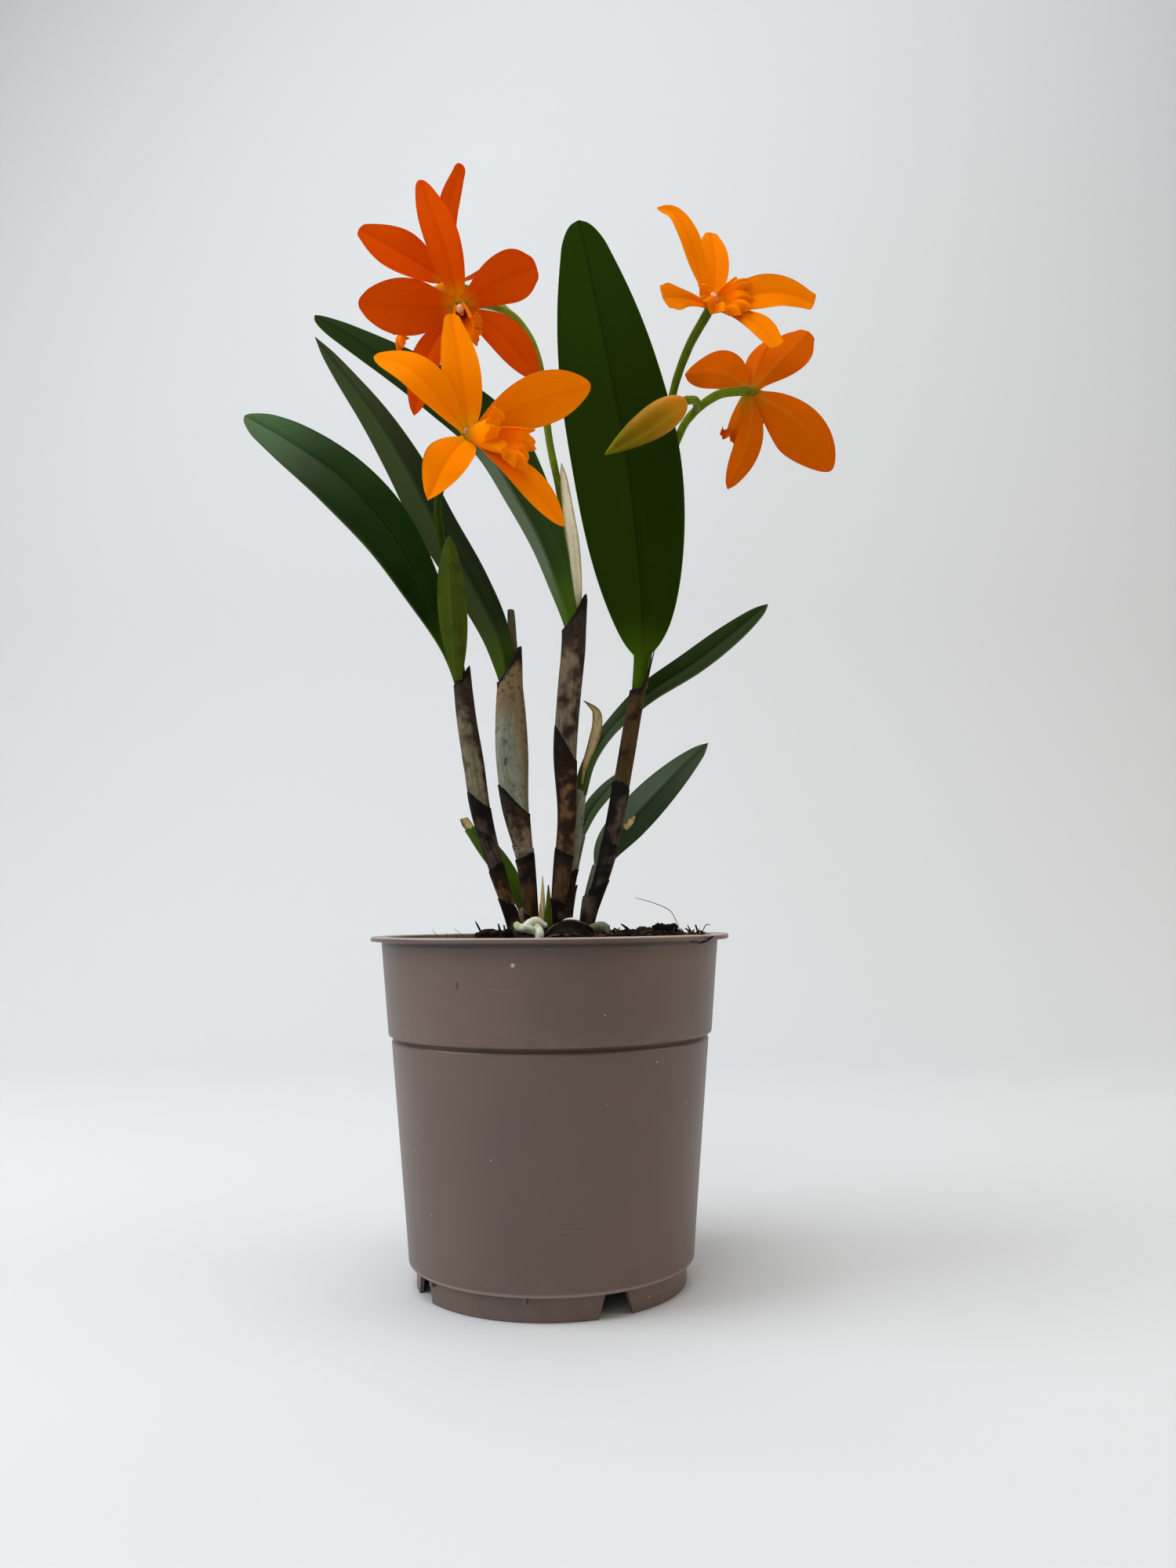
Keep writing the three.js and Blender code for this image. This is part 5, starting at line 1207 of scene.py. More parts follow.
# %% Green skins
def juicy_skin(name, body, pale, shade, gloss=0.55):
    # A young stalk or sheath: soft skin full of water, paler along its fibres.
    material, add = new_material(name)
    place, = read_facts(add)
    fibres = lengthwise_fibres(add, 0.45, 0.03)
    green = laid_over(add, colour(body), pale, fibres, 0.35, 0.7, 0.55)
    tint = clouded(add, place, green, shade, 5, 4.0, 0.45, 0.7, 0.7)
    bump = add("Bump", {"Height": fibres, "Strength": 0.2, "Distance": 0.12 * MM})
    return with_surface(material, add, {
        "Base Color": tint, "Roughness": 1 - gloss, "IOR": 1.3, "Specular IOR Level": 0.2, "Normal": bump,
        "Specular Tint": colour("#c4e090"), "Subsurface Weight": 0.15, "Subsurface Radius": (0.6, 1.0, 0.2),
        "Subsurface Scale": 0.8 * MM})


STALK_SKIN = juicy_skin("stalk_skin_green", "#5a6e12", "#82942a", "#3c4e08")
ARCH_SKIN = juicy_skin("stalk_skin_yellow_green", "#7e8c24", "#a6ae48", "#586a12")
FORK_SKIN = juicy_skin("stalk_skin_olive", "#42540a", "#64781a", "#2c3a06")
YOUNG_STALK = juicy_skin("stalk_skin_dark_green", "#1e3204", "#34480a", "#152402")
YOUNG_SHEATH = juicy_skin("flower_sheath_green", "#38480e", "#4c5c1a", "#28360a", 0.5)
OVARY_SKIN = juicy_skin("ovary_skin_olive", "#7a6a10", "#9a8420", "#56600e")
print("green skins: 6")

# %% Flower sheaths
SPATHES = {
    "spathe_a": {
        "spine": [[-29.6, -17.1, 196.4], [-30.4, -21.4, 213], [-31.2, -24.4, 228], [-31.6, -26, 243]],
        "faces": [[-0.2, 1, 0], [-0.2, 1, 0]], "finish": YOUNG_SHEATH, "slot": "sheath_green",
        "shape": {"width": 9.6, "peak": 0.5, "fullness": 0.6, "root": 0.3, "tip": 0.1, "fold": 0.45,
                  "groove": 0.3, "taper": 0.08, "thick": 0.9, "rim": 0.4, "rows": 60}},
    "spathe_b": {
        "spine": [[-12.8, 4, 198], [-12.9, 4.6, 210], [-13.2, 5.4, 219], [-13.6, 6, 226.4]],
        "faces": [[0.3, -1, 0], [0.3, -1, 0]], "finish": PAPER["dusky"], "slot": "sheath_dry",
        "shape": {"width": 3.0, "peak": 0.5, "fullness": 0.3, "root": 0.8, "tip": 0.75, "fold": 0.3,
                  "taper": 0.02, "thick": 0.5, "rim": 0.25, "wave": 0.3, "rows": 48, "notch": 0.8}},
    "spathe_c": {
        "spine": [[9.8, 4.6, 219.4], [9.8, 5.6, 236], [8.4, 6.4, 252], [6.6, 6.8, 266], [4.8, 6.4, 280.4]],
        "faces": [[0.1, -1, 0], [0.1, -1, 0]], "finish": PAPER["parchment"], "slot": "sheath_dry",
        "shape": {"width": 4.6, "peak": 0.5, "fullness": 0.5, "root": 0.6, "tip": 0.08, "fold": 0.3,
                  "taper": 0.1, "thick": 0.5, "rim": 0.2, "wave": 0.25, "rows": 60}},
    "spathe_e": {
        "spine": [[11, 5.4, 163], [12.6, 5.6, 171], [15, 5.8, 178], [16.7, 6, 184.4], [16.4, 6.4, 189.6],
                  [12, 6.6, 193.4]],
        "faces": [[0.4, -1, 0.2], [-0.2, -0.6, -0.8]], "finish": PAPER["cream"], "slot": "sheath_dry",
        "shape": {"width": 3.7, "peak": 0.6, "fullness": 0.7, "root": 0.3, "tip": 0.12, "fold": 0.3,
                  "taper": 0.1, "thick": 0.5, "rim": 0.2, "wave": 0.35, "rows": 60}},
}

for number, (name, spec) in enumerate(SPATHES.items()):
    forms = [blade(spec["spine"], spec["faces"], finish=spec["finish"], tone=20 + number, **spec["shape"])]
    make_piece(name.replace("_", "") + "_folded", forms, [name])

# %% Flower stalks
STALKS = {  # each branch: points, the radius at each, and where the scales sit, as shares of its length
    "stalk_a": {"skin": YOUNG_STALK, "branches": [
        {"points": [[-28.6, -14, 196.6], [-32, -18, 228], [-35, -20.4, 244], [-35.8, -23, 256],
                    [-32, -28, 264],
                    [-25.8, -35.9, 271]],
         "radius": [1.2, 1.25, 1.25, 1.3, 1.45, 1.55], "scales": [(0.62, 7, -40)]}]},
    "stalk_c": {"skin": STALK_SKIN, "branches": [
        {"points": [[9.4, 5.6, 217.4], [7.6, 9.4, 246], [4, 10.4, 271], [0.4, 9, 290], [-2.2, 7, 314]],
         "radius": [1.3, 1.3, 1.3, 1.35, 1.25], "scales": [(0.4, 5, 60), (0.9, 5, 120)]},
        {"points": [[-1.9, 7.2, 311], [-2.7, 6.8, 317], [-6.2, 5, 327], [-13, 3, 335], [-22, -1, 336.6],
                    [-28.2, -7.9, 332]],
         "radius": [1.2, 1.25, 1.25, 1.3, 1.45, 1.5], "scales": [], "skin": ARCH_SKIN},
        {"points": [[-11, 3.6, 333.4], [-18, 8, 342], [-25, 12.6, 348.6], [-33.4, 15.2, 352.7]],
         "radius": [1.0, 1.2, 1.4, 1.4], "scales": []}]},
    "stalk_d": {"skin": FORK_SKIN, "branches": [
        {"points": [[33, 6.6, 198], [36, 11, 216], [41, 15, 240], [44.6, 17, 270], [45.6, 16.4, 293]],
         "radius": [1.6, 1.6, 1.6, 1.6, 1.7], "scales": [(0.5, 6, -120)]},
        {"points": [[45.6, 16.4, 290], [45.8, 15.4, 308], [51.6, 10.8, 325], [58.6, 6.6, 336.6]],
         "radius": [1.5, 1.45, 1.6, 1.75], "scales": [(0.08, 5, 150)]},
        {"points": [[45.6, 16.4, 288], [51.6, 13.4, 299.6], [62, 9.4, 306.6], [72.4, 12, 309.4]],
         "radius": [1.4, 1.5, 1.65, 1.75], "scales": [], "skin": STALK_SKIN},
        {"points": [[52, 12.8, 299.4], [54, 9, 301], [53.4, 3.6, 301.8], [49.6, -1.4, 299.9]],
         "radius": [1.3, 1.4, 1.5, 1.5], "scales": [], "skin": STALK_SKIN}]},
}


def joints_relief(share, angle):
    """Six soft ribs that grow towards the ovary."""
    return 0.05 * eased((share - 0.55) / 0.4) * np.cos(6 * angle) + 0.012 * np.sin(40 * share)


def stalk_scale(points, at, long, around, finish, tone):
    """A small scale that clasps the stalk at one of its joints."""
    (foot, near), _ = line_at(points, [at, min(1, at + 0.04)])
    way = unit(near - foot)
    out = unit(np.cross(way, [math.cos(math.radians(around)), 0.2, math.sin(math.radians(around))]))
    spine = [foot + out * 1.1, foot + out * 1.7 + way * long * 0.5, foot + out * 2.1 + way * long]
    return blade(spine, [-out, -out], 3.4, finish, peak=0.4, root=0.8, tip=0.05, fold=0.5, taper=0.3,
                 thick=0.5, rim=0.2, rows=24, columns=13, tone=tone)


for number, (name, spec) in enumerate(STALKS.items()):
    forms = []
    for k, branch in enumerate(spec["branches"]):
        forms.append(tube(branch["points"], branch["radius"], branch.get("skin", spec["skin"]), sides=24,
                          rows=90,
                          tone=number + 0.3 * k, relief=joints_relief))
        for at, long, around in branch["scales"]:
            forms.append(stalk_scale(branch["points"], at, long, around, YOUNG_SHEATH, number + k))
    make_piece(name.replace("_", "") + "_jointed", forms, [name])


# %% [markdown]
# ## Petals
#
# A petal of this kind is satin: cells like tiny domes that sparkle a little, over a body thin enough for
# light to pass. The colour runs from yellower at the heart to full orange at the rim, with fine darker veins
# that fan out, a soft crease down the middle and a pale keel behind it. Light that soaks in and comes back
# out elsewhere is what makes the orange glow, so the finish has some subsurface scattering of red and
# orange, a short way for a thin body. There is hardly any mirror shine, because the domed cells bounce light
# about before they let it go.

# %% The petals' finishes
def satin_petal(name, heart, body, rim, vein, back):
    material, add = new_material(name)
    place, across, share, edge, below = read_facts(add, "across", "share", "edge", "under")
    grown = laid_over(add, colour(heart), body, share, 0.0, 0.2, soft=True)
    cloud = add("TexNoise", {"Vector": place, "Scale": per(7), "Detail": 3.0})
    near_rim = add("MapRange", {"Value": edge, "From Min": 2.4, "From Max": 0.0})
    rim_share = add("Math", {0: near_rim, 1: cloud}, operation="MULTIPLY")
    rimmed = add("Mix", {"Factor": rim_share, "A": grown, "B": colour(rim)})
    veins = lengthwise_fibres(add, 0.6, 0.07, detail=3.0)
    veined = laid_over(add, rimmed, vein, veins, 0.5, 0.7, 0.16)
    off_middle = add("Math", {0: across}, operation="ABSOLUTE")
    creased = laid_over(add, veined, vein, off_middle, 1.3, 0.1, 0.16, soft=True)
    # behind, the petal is paler, with a keel that is palest near the heart
    paler = add("Math", {0: below, 1: 0.6}, operation="MULTIPLY")
    sided = add("Mix", {"Factor": paler, "A": creased, "B": colour(back)})
    keel = add("MapRange", {"Value": off_middle, "From Min": 1.1, "From Max": 0.1, "To Max": 0.22},
                    interpolation_type="SMOOTHSTEP")
    from_tip = add("MapRange", {"Value": share, "From Min": 1.0, "From Max": 0.1})
    keel_behind = add("Math", {0: keel, 1: below}, operation="MULTIPLY")
    keel_share = add("Math", {0: keel_behind, 1: from_tip}, operation="MULTIPLY")
    tint = add("Mix", {"Factor": keel_share, "A": sided, "B": colour("#dc8c34")})
    cells = add("TexNoise", {"Vector": place, "Scale": per(0.3), "Detail": 1.0})
    relief = add("Bump", {"Height": veins, "Strength": 0.2, "Distance": 0.2 * MM})
    bump = add("Bump", {"Height": cells, "Strength": 0.3, "Distance": 0.06 * MM, "Normal": relief})
    return with_surface(material, add, {
        "Base Color": tint, "Roughness": 0.6, "IOR": 1.1, "Specular IOR Level": 0.1, "Normal": bump,
        "Specular Tint": colour("#ff8a1c"), "Subsurface Weight": 0.2, "Subsurface Radius": (1.0, 0.32, 0.04),
        "Subsurface Scale": 1.2 * MM})


PETAL = {
    "red": satin_petal("petal_satin_red_orange", "#d88c00", "#da4e00", "#d04600", "#b03400", "#d65400"),
    "gold": satin_petal("petal_satin_golden_orange", "#e89a00", "#f68000", "#f48a00", "#d06400", "#f08000"),
    "deep": satin_petal("petal_satin_deep_orange", "#a08a10", "#d66200", "#d25c00", "#aa4800", "#cc5c00"),
}
# the gold lip's dark olive heart is painted shade in its throat
LIP_SKIN = {
    "red": satin_petal("lip_satin_red", "#d89420", "#ee7000", "#e86000", "#c84800", "#e87000"),
    "gold": satin_petal("lip_satin_gold", "#8a6c10", "#fa8200", "#f47600", "#d46000", "#f08000"),
    "deep": satin_petal("lip_satin_deep", "#a07818", "#d86a00", "#d05e00", "#a84000", "#d07008"),
}
print("petal finishes:", ", ".join(PETAL))


# %% The column's wax
def soft_wax(name, base, end, mottled):
    """The column, its cap and its beads: waxy, going from one colour to another along the part."""
    material, add = new_material(name)
    place, share = read_facts(add, "share")
    body = laid_over(add, colour(base), end, share, 0.35, 0.9)
    mottle = add("TexNoise", {"Vector": place, "Scale": per(1.2), "Detail": 3.0})
    tint = laid_over(add, body, mottled, mottle, 0.45, 0.7, 0.5)
    bump = add("Bump", {"Height": mottle, "Strength": 0.2, "Distance": 0.15 * MM})
    return with_surface(material, add, {
        "Base Color": tint, "Roughness": 0.45, "IOR": 1.45, "Specular IOR Level": 0.25, "Normal": bump,
        "Subsurface Weight": 0.3, "Subsurface Radius": (1.0, 0.6, 0.3), "Subsurface Scale": 1 * MM})


COLUMN_WAX = soft_wax("column_wax_orange", "#cc7a08", "#d47a14", "#b8641c")
CAP_WAX = soft_wax("anther_cap_wax_cream", "#f0b474", "#f6c08a", "#dc8c48")
BEAD_WAX = soft_wax("bead_wax_pink", "#c48f86", "#c48f86", "#b47a66")

# %% [markdown]
# ## Blooms
#
# A cattleya bloom has three sepals and two petals round a lip. The lip is a petal too: it rolls into a tube
# round the column, and at its mouth it turns back on itself, softly ruffled. The tepals here are blades that
# bend back along their own curves, each cupped, leaned and waved a little differently, as no two are alike.
# The ruffle is a sum of two sines that grows with the fifth power of the distance and moves the skin along
# its own normal, so the roll stays smooth. The column lies in the tube with its anther cap in the mouth.

# %% Blooms
FLOWERS = {
    "flower_1": {"at": [-36, 16, 354], "lip": [-57.5, 5, 331], "mouth": 0.8, "hue": "red", "tepals": [
        {"spine": [[-38, 15.6, 381], [-33, 20, 405]], "width": 8, "face": [0.45, -0.9, -0.3], "tip": 0.6,
         "taper": 0.07},
        {"spine": [[-53, 8, 361.4], [-69, 5, 369.6]], "width": 17, "face": [0, -1, 0.15], "taper": 0.05,
         "tip": 0.34, "wave": 0.3},
        {"spine": [[-26, 30, 366], [-17, 38, 375]], "width": 11, "face": [-0.6, -0.8, 0]},
        {"spine": [[-41, 26, 342], [-43, 32, 326]], "width": 9, "face": [-0.7, -0.4, 0.3]},
        {"spine": [[-29, 30, 351], [-23, 38, 342]], "width": 9, "face": [-0.7, -0.4, 0.3]}]},
    "flower_2": {"at": [-30, -10, 331], "lip": [-27, -21, 317], "mouth": 0.62, "hue": "red", "column": 5.6,
                 "tepals": [
        {"spine": [[-37.4, -9, 358], [-45, -5, 382]], "width": 13.2, "face": [0.4, -0.95, -0.3], "peak": 0.5,
         "root": 0.4, "tip": 0.4, "taper": 0.1, "fold": 0.2},
        {"spine": [[-48, -17, 327.2], [-64, -19, 327.8]], "width": 18.5, "face": [0, -0.9, -0.4], "tip": 0.34,
         "root": 0.4, "taper": 0.1, "cup": 0.1, "wave": 0.4},
        {"spine": [[-16, -15, 337.4], [-3.2, -8, 346.6]], "width": 17, "root": 0.4, "peak": 0.6,
         "face": [0.4, -0.9, -0.4], "tip": 0.45, "taper": 0.06},
        {"spine": [[-15, -11, 320], [-2.6, -6, 305.4]], "width": 13, "face": [0, -1, 0.1], "fullness": 0.7},
        {"spine": [[-41.5, -7, 315], [-47, -3, 294.4]], "width": 10.5, "face": [0, -1, 0]}]},
    "flower_3": {"at": [-24, -38, 272], "lip": [-6.4, -51, 267], "mouth": 1.08, "hue": "gold",
                 "bead": [-0.6, -2.4, 0.6], "tepals": [
        {"spine": [[-26.7, -37, 294], [-30.8, -30, 317.6]], "width": 12.6, "face": [0.15, -1, 0],
         "peak": 0.42,
         "fullness": 0.6, "tip": 0.42, "taper": 0.06},
        {"spine": [[-40, -42, 291], [-55, -35, 301]], "width": 13, "face": [0.2, -0.95, 0.2], "tip": 0.3,
         "wave": 0.3},
        {"spine": [[-4, -38, 283], [15.4, -30, 292.4]], "width": 16.6, "face": [0.3, -0.9, -0.5],
         "peak": 0.56,
         "tip": 0.24, "taper": 0.05, "wave": 0.3},
        {"spine": [[-29.6, -46, 261], [-35.6, -49, 246.6]], "width": 15, "face": [0.2, -0.7, 0.7],
         "peak": 0.42,
         "fullness": 0.8, "tip": 0.06, "taper": 0.1},
        {"spine": [[-6.6, -42, 257], [6.4, -41, 240.6]], "width": 9.5, "face": [0, -0.9, 0.4], "peak": 0.6,
         "tip": 0.2}]},
    "flower_4": {"at": [60, 6, 339], "lip": [64.9, -5.4, 339.8], "mouth": 1.06, "hue": "gold", "column": 3.0,
                 "bead": [-1.5, -2.2, 0.8], "tepals": [
        {"spine": [[55.4, 6, 353], [52, 6, 367], [47, 8, 376.6], [41, 9, 379.4]], "width": 8.2,
         "face": [0.3, -0.95, 0], "peak": 0.6, "tip": 0.2, "wave": 0.2},
        {"spine": [[62.6, 13, 358], [62.2, 21, 376.6]], "width": 13, "face": [0.2, -1, 0.3], "tip": 0.4,
         "taper": 0.05, "lean": 0.2},
        {"spine": [[75.8, 1, 340.5], [85.7, 0, 340.3], [96.4, 0, 336.3]], "width": 13.2, "face": [0, -1, 0.1],
         "peak": 0.5, "root": 0.6, "tip": 0.5, "taper": 0.02, "wave": 0.3, "fold": 0.2},
        {"spine": [[50, -3, 337.0], [41.4, -9, 334.2]], "width": 10.4, "face": [0.1, -1, 0.1], "peak": 0.8,
         "fullness": 0.9, "root": 0.3, "tip": 0.92, "taper": 0.02, "wave": 0.1},
        {"spine": [[74.1, -4, 327.6], [81.4, -9, 315.6]], "width": 8.6, "face": [0.1, -1, 0.1], "peak": 0.7,
         "tip": 0.7, "taper": 0.03}]},
    "flower_5": {"at": [75, 14, 310], "lip": [72.4, 33, 301], "mouth": 0.9, "hue": "deep", "tepals": [
        {"spine": [[66, 19, 319.4], [52, 29, 324]], "width": 15, "face": [0.4, 0.9, 0], "lean": 0.2},
        {"spine": [[79, 24, 325], [86, 34, 340]], "width": 9, "face": [0.2, 0.9, 0.3]},
        {"spine": [[87.4, 16, 323.6], [99, 24, 338]], "width": 15.5, "face": [0.1, 1, 0], "peak": 0.6,
         "tip": 0.45, "taper": 0.04},
        {"spine": [[92.4, 13, 297], [104.2, 17, 280.4]], "width": 19.5, "face": [0.1, 1, 0.1], "lean": 0.2,
         "tip": 0.22, "taper": 0.05, "wave": 0.3},
        {"spine": [[74, 15, 293], [66.4, 22, 275.6]], "width": 10.5, "face": [0.3, 0.95, 0], "fold": 0.2}]},
}
TEPAL_START = 1.7  # mm from the middle of the bloom
TEPAL = {"peak": 0.54, "fullness": 0.65, "root": 0.25, "tip": 0.12, "fold": 0.12, "taper": 0.06, "cup": 0.04,
         "groove": 0.2, "groove_width": 0.9, "thick": 0.75, "rim": 0.22, "rows": 56, "columns": 27,
         "wave": 0.2, "waves": 1.8}
LIP = {"throat": 2.0, "tube": 5.4, "tube_share": 0.6, "roll": 3.2, "rolled_back": 115, "wraps": (150, 118),
       "ruffle": 1.25, "lobe_from": 0.42, "rows": 44, "columns": 113}
COLUMN = {"length": 8.0, "raised": 1.2, "radii": [1.6, 1.5, 1.4, 1.6, 1.7, 1.1]}
BEAD = 0.8  # radius of the small pink bead in the middle of a bloom


def lip_form(centre, axis, up, length, mouth, finish, seed):
    """A tube round the column whose mouth turns back in a ruffled roll, with its slit on the upper side."""
    side = np.cross(axis, up)
    s = np.linspace(0, 1, LIP["rows"])[:, None]
    u = np.linspace(-1, 1, LIP["columns"])
    straight = np.minimum(1, s / LIP["tube_share"])
    turn = np.radians(LIP["rolled_back"]) * np.clip((s - LIP["tube_share"]) / (1 - LIP["tube_share"]), 0, 1)
    tube_radius = LIP["throat"] + (LIP["tube"] * mouth - LIP["throat"]) * np.sin(np.pi / 2 * straight)
    roll = LIP["roll"] * mouth
    # two side lobes stand a little behind the middle one, with a notch between
    side_lobe = eased((np.abs(u) - LIP["lobe_from"] + 0.06) / 0.12)
    notch = np.exp(-((np.abs(u) - LIP["lobe_from"]) / 0.06) ** 2)
    lobes = 1 - (0.2 * side_lobe + 0.14 * notch) * s ** 2
    waves = 1.3 * np.sin(2 * np.pi * 3.5 * u + seed) + 0.7 * np.sin(2 * np.pi * 7.3 * u + 2.1 * seed)
    ruffle = LIP["ruffle"] * mouth * s ** 5 * waves
    reach = ((length - roll) * straight + roll * np.sin(turn)) * lobes - ruffle * np.sin(turn)
    spread = tube_radius + roll * (1 - np.cos(turn)) + ruffle * np.cos(turn)
    opening = np.radians(LIP["wraps"][0] + (LIP["wraps"][1] - LIP["wraps"][0]) * s) * u
    middle = (centre + axis * reach[..., None] - up * (np.cos(opening) * spread)[..., None]
              + side * (np.sin(opening) * spread)[..., None])
    thick = 0.6 - 0.3 * s ** 2 + 0 * u
    return sheet(middle, thick, finish, share=0.6 * s, along=s * length, across=4 + u * spread * 2,
                 edge=(1 - s) * length + 0 * u, tone=seed)


def column_form(centre, axis, up, length):
    points = [centre + (axis * length + up * COLUMN["raised"]) * s for s in np.linspace(0.05, 1, 6)]
    return tube(points, COLUMN["radii"], COLUMN_WAX, sides=24, rows=40)


def small_body(middle, half, radius, finish):
    """A short rounded body, from `middle - half` to `middle + half`."""
    return tube([middle - half, middle, middle + half], [0.72 * radius, radius, 0.72 * radius], finish,
                sides=24,
                rows=16)


def bloom(name, spec, number):
    centre = np.array(spec["at"], float)
    axis = np.array(spec["lip"], float) - centre
    length = np.linalg.norm(axis)
    axis /= length
    up = np.array(spec["tepals"][0]["spine"][-1], float) - centre
    up = unit(up - axis * np.dot(up, axis))
    column = spec.get("column", COLUMN["length"])
    cap = centre + axis * (column + 0.4) + up * (COLUMN["raised"] + 0.2)
    forms = [small_body(centre, np.array([1.2, -0.4, 0]), 2.1, OVARY_SKIN)]
    for k, tepal in enumerate(spec["tepals"]):
        shape = {**TEPAL, **{key: v for key, v in tepal.items() if key not in ("spine", "face", "width")}}
        start = centre + unit(np.array(tepal["spine"][0], float) - centre) * TEPAL_START
        forms.append(blade([start, *tepal["spine"]], [tepal["face"]] * 2, tepal["width"], PETAL[spec["hue"]],
                           phase=2.1 * k + number, tone=5 * number + k, **shape))
    forms.append(lip_form(centre, axis, up, length, spec["mouth"], LIP_SKIN[spec["hue"]], number + 1.0))
    forms.append(column_form(centre, axis, up, column))
    forms.append(small_body(cap, up, 1.4, CAP_WAX))
    if "bead" in spec:
        forms.append(small_body(centre + np.array(spec["bead"], float), 0.6 * BEAD * up, BEAD, BEAD_WAX))
    return make_piece(name.replace("_", "") + "_bloom", forms, [name])


for number, (name, spec) in enumerate(FLOWERS.items()):
    bloom(name, spec, number)


# %% [markdown]
# ## The bud
#
# The closed bud is three sepals folded edge to edge round the rest, so it is pointed, three-sided and
# seamed. It is orange-brown where it joins the stalk and olive at the tip, and its seams are greener. Rings
# of points along its axis make it, with ridges that follow the three seams and a twist of a few degrees.

# %% The bud's skin
def bud_skin():
    material, add = new_material("bud_skin_olive_orange")
    place, share, seam = read_facts(add, "share", "edge")
    cloud = add("TexNoise", {"Vector": place, "Scale": per(8), "Detail": 3.0})
    wander = add("MapRange", {"Value": cloud, "To Min": -0.16, "To Max": 0.16})
    ripeness = add("Math", {0: share, 1: wander}, operation="ADD")
    ramp = add("ValToRGB", {"Fac": ripeness})
    stops = [(0.0, "#cc7c08"), (0.35, "#a4720c"), (0.7, "#7c600a"), (1.0, "#585408")]
    ramp.color_ramp.elements.remove(ramp.color_ramp.elements[-1])
    ramp.color_ramp.elements[0].color = colour(stops[0][1])
    for position, code in stops[1:]:
        ramp.color_ramp.elements.new(position).color = colour(code)
    veins = lengthwise_fibres(add, 0.6, 0.05)
    veined = laid_over(add, ramp.outputs["Color"], "#7d5c10", veins, 0.45, 0.72, 0.3)
    # the sepals meet in three soft, greener seams
    tint = laid_over(add, veined, "#98941e", seam, 1.5, 0.1, 0.3, soft=True)
    bump = add("Bump", {"Height": veins, "Strength": 0.2, "Distance": 0.2 * MM})
    return with_surface(material, add, {
        "Base Color": tint, "Roughness": 0.45, "IOR": 1.2, "Specular IOR Level": 0.3, "Normal": bump,
        "Specular Tint": colour("#ffd890"), "Subsurface Weight": 0.15, "Subsurface Radius": (1.0, 0.6, 0.1),
        "Subsurface Scale": 1 * MM})


BUD_SKIN = bud_skin()

# %% The bud
BUD = {"base": [49.4, -1.6, 299.6], "tip": [20, -12, 275.6], "radius": 5.9, "peak": 0.36, "seam": 0.035,
       "rings": 90, "sides": 72}


def bud_form():
    base, tip = (np.array(BUD[k], float) for k in ("base", "tip"))
    axis = tip - base
    length = np.linalg.norm(axis)
    axis /= length
    first = unit(np.cross(axis, [0, 1, 0]))
    second = np.cross(axis, first)
    even = np.linspace(0, 1, BUD["rings"])
    s = (0.02 + 0.975 * (even + 0.5 * ((1 - np.cos(np.pi * even)) / 2 - even)))[:, None]
    swell = BUD["radius"] * np.sin(np.pi * s ** (math.log(0.5) / math.log(BUD["peak"]))) ** 0.85
    angle = np.linspace(0, 2 * np.pi, BUD["sides"], endpoint=False)
    turned = angle + 0.5 * s
    seams = np.abs(np.cos(1.5 * turned)) ** 0.5
    bulge = 1 - BUD["seam"] * (1 - seams) * 2.2 + 0.03 * np.cos(3 * turned)
    bow = 1.1 * np.sin(np.pi * s)
    reach = swell * bulge
    rings = (base + axis * (s * length)[..., None] + second * bow[..., None]
             + first * (reach * np.cos(angle))[..., None] + second * (reach * np.sin(angle))[..., None])
    rows, sides = reach.shape
    faces = capped_faces(rows, sides)
    return form(rings, faces, BUD_SKIN, share=s + 0 * angle, along=s * length + 0 * angle,
                across=swell * angle,
                edge=swell * np.abs(np.sin(turned * 1.5 + np.pi / 2)) / 1.5)


make_piece("bud_closed", [bud_form()], ["bud"])

# %% [markdown]
# ## Roots, shoots and what lies on the bark
#
# An orchid's young root is plump and chalky: its outside is velamen, a sponge of dead cells that is white
# when it is dry and lets green through when it is wet. The growing end is bare and bright green. Two thin
# shoots stand between the canes, one still wrapped in cream paper, and a rotted black sheath lies curled in
# front of them.

# %% The velamen
def velamen(name, dry, damp, growing):
    material, add = new_material(name)
    place, share = read_facts(add, "share")
    chalk = clouded(add, place, colour(dry), damp, 3.2, 4.0, 0.48, 0.7)
    tint = laid_over(add, chalk, growing, share, 0.3, 0.1, soft=True)
    pores = add("TexNoise", {"Vector": place, "Scale": per(0.35), "Detail": 2.0})
    bump = add("Bump", {"Height": pores, "Strength": 0.4, "Distance": 0.12 * MM})
    return with_surface(material, add, {
        "Base Color": tint, "Roughness": 0.6, "IOR": 1.45, "Specular IOR Level": 0.3, "Normal": bump,
        "Subsurface Weight": 0.1, "Subsurface Radius": (0.8, 0.9, 0.5), "Subsurface Scale": 0.6 * MM})


CHALKY = velamen("root_velamen_chalky", "#dcdfd0", "#a8b094", "#b2bc8c")
GREYED = velamen("root_velamen_grey_green", "#747a66", "#565c4a", "#646c50")
ROTTED = papery_sheath("rotted_sheath_black", "#2c231c", "#15100d", "#080504", "#6a5c4a", 0.5, 0.5, 3.0, 0.7,
                       0.01)

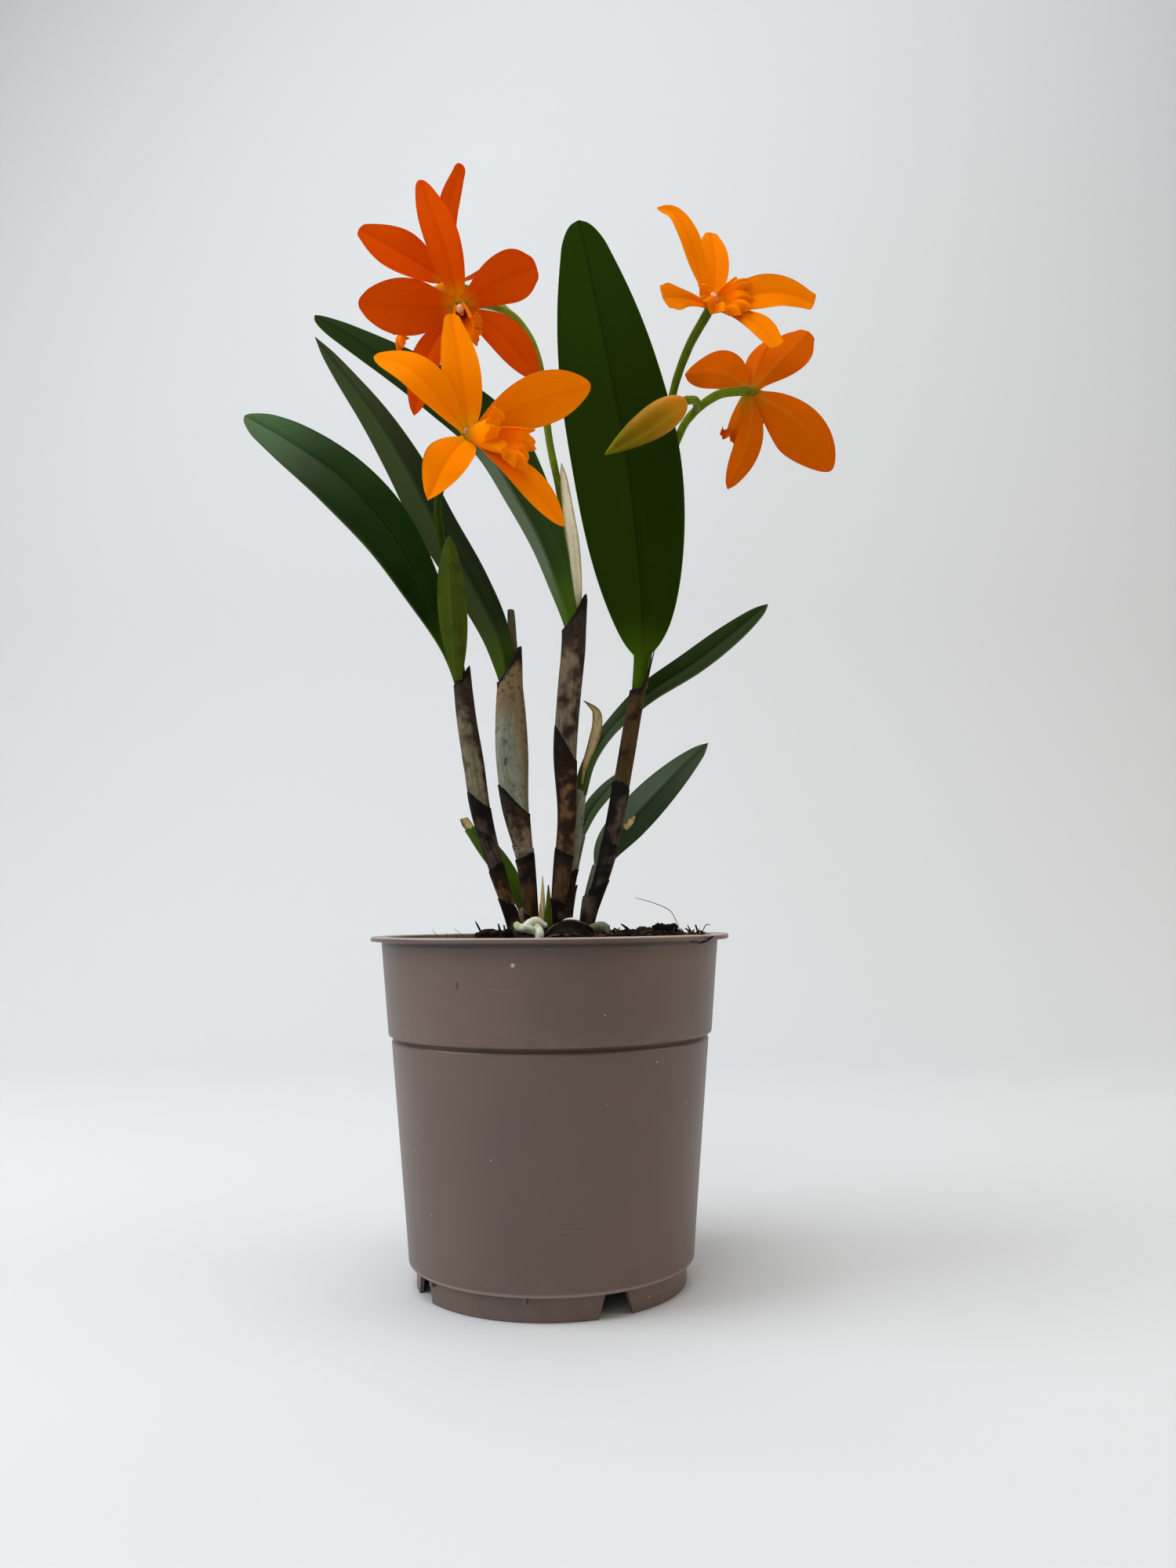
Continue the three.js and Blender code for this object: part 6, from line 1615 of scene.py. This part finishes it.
# %% Roots, shoots and the old sheath
ROOTS = {
    "roots_left": {"skin": CHALKY, "radius": 1.4, "lines": [
        [[-8.6, -13, 113.6], [-6.6, -13, 115.6], [-4.4, -13, 116.4], [-1.6, -12, 115]],
        [[-10.4, -14.8, 115.2], [-9.6, -15.2, 114.4], [-6.6, -15.8, 113.9], [-3.4, -15, 112.6]],
        [[-3.6, -15.6, 114.4], [-2.9, -17, 112.8], [-3.1, -17.4, 110]],
        [[4.4, -9.4, 114.6], [6, -9.6, 115.9], [8.8, -9.6, 115.7], [10, -9, 114]]]},
    "root_right": {"skin": GREYED, "radius": 1.8, "lines": [
        [[12.4, -9.2, 112], [14.6, -9.4, 113.7], [18, -9, 114], [18.9, -8.8, 112.2]]]},
}
SHOOTS = {
    "shoot_cream": {"at": [-2.4, -8.6], "top": 131, "radius": 1.1, "finish": PAPER["cream"],
                    "slot": "sheath_dry"},
    "shoot_green": {"at": [-0.4, -10.4], "top": 128, "radius": 1.4, "finish": YOUNG_SHEATH,
                    "slot": "sheath_green"},
}
SHOOT_BOTTOM = 104
OLD_SHEATH = {"spine": [[-1.6, -15.2, 111], [2.4, -15.8, 113.4], [8, -15.4, 114], [12.4, -13.6, 113],
                        [15, -12, 111]],
              "faces": [[0, -0.95, 0.3]] * 2}


def knuckled(share, angle):
    """The slight rings and dents of a root."""
    return 0.05 * np.sin(11 * share + 1) + 0.03 * np.sin(3 * angle + 9 * share)


for name, spec in ROOTS.items():
    forms = [tube(line, [v * spec["radius"] for v in (0.8, *[1] * (len(line) - 2), 0.85)], spec["skin"],
                  sides=24,
                  rows=48, relief=knuckled) for line in spec["lines"]]
    make_piece(name.replace("_", "") + "_velamen", forms, [name])

for number, (name, spec) in enumerate(SHOOTS.items()):
    x, y = spec["at"]
    z = np.linspace(SHOOT_BOTTOM, spec["top"], 7)
    points = [[x + 0.25 * math.sin(0.3 * k), y, h] for k, h in enumerate(z)]
    radii = [spec["radius"] * v for v in (1, 1, 1, 0.95, 0.78, 0.5, 0.16)]
    forms = [tube(points, radii, spec["finish"], sides=24, rows=60, tone=30 + number, relief=joints_relief)]
    wrap = [[x - spec["radius"] * 0.6, y - spec["radius"] * 0.7, h] for h in z[:5]]
    forms.append(blade(wrap, [[-0.6, -0.8, 0]] * 2, spec["radius"] * 2.2, spec["finish"], peak=0.4, root=0.9,
                       tip=0.1, fold=-0.5, taper=0.2, thick=0.35, rim=0.15, rows=32, columns=15,
                       tone=31 + number))
    make_piece(name.replace("_", "") + "_wrapped", forms, [name])

old_sheath = blade(OLD_SHEATH["spine"], OLD_SHEATH["faces"], 5.4, ROTTED, peak=0.55, fullness=0.6, root=0.25,
                   tip=0.3, fold=0.25, taper=0.05, thick=0.6, rim=0.3, wave=0.4, waves=2.2, rows=48, tone=40)
make_piece("oldsheath_rotted", [old_sheath], ["old_sheath"])

# %% [markdown]
# ## The last step
#
# The view layer is brought up to date. The dressed plant has to keep the solid model's
# size.

# %% The last step
bpy.context.view_layer.update()
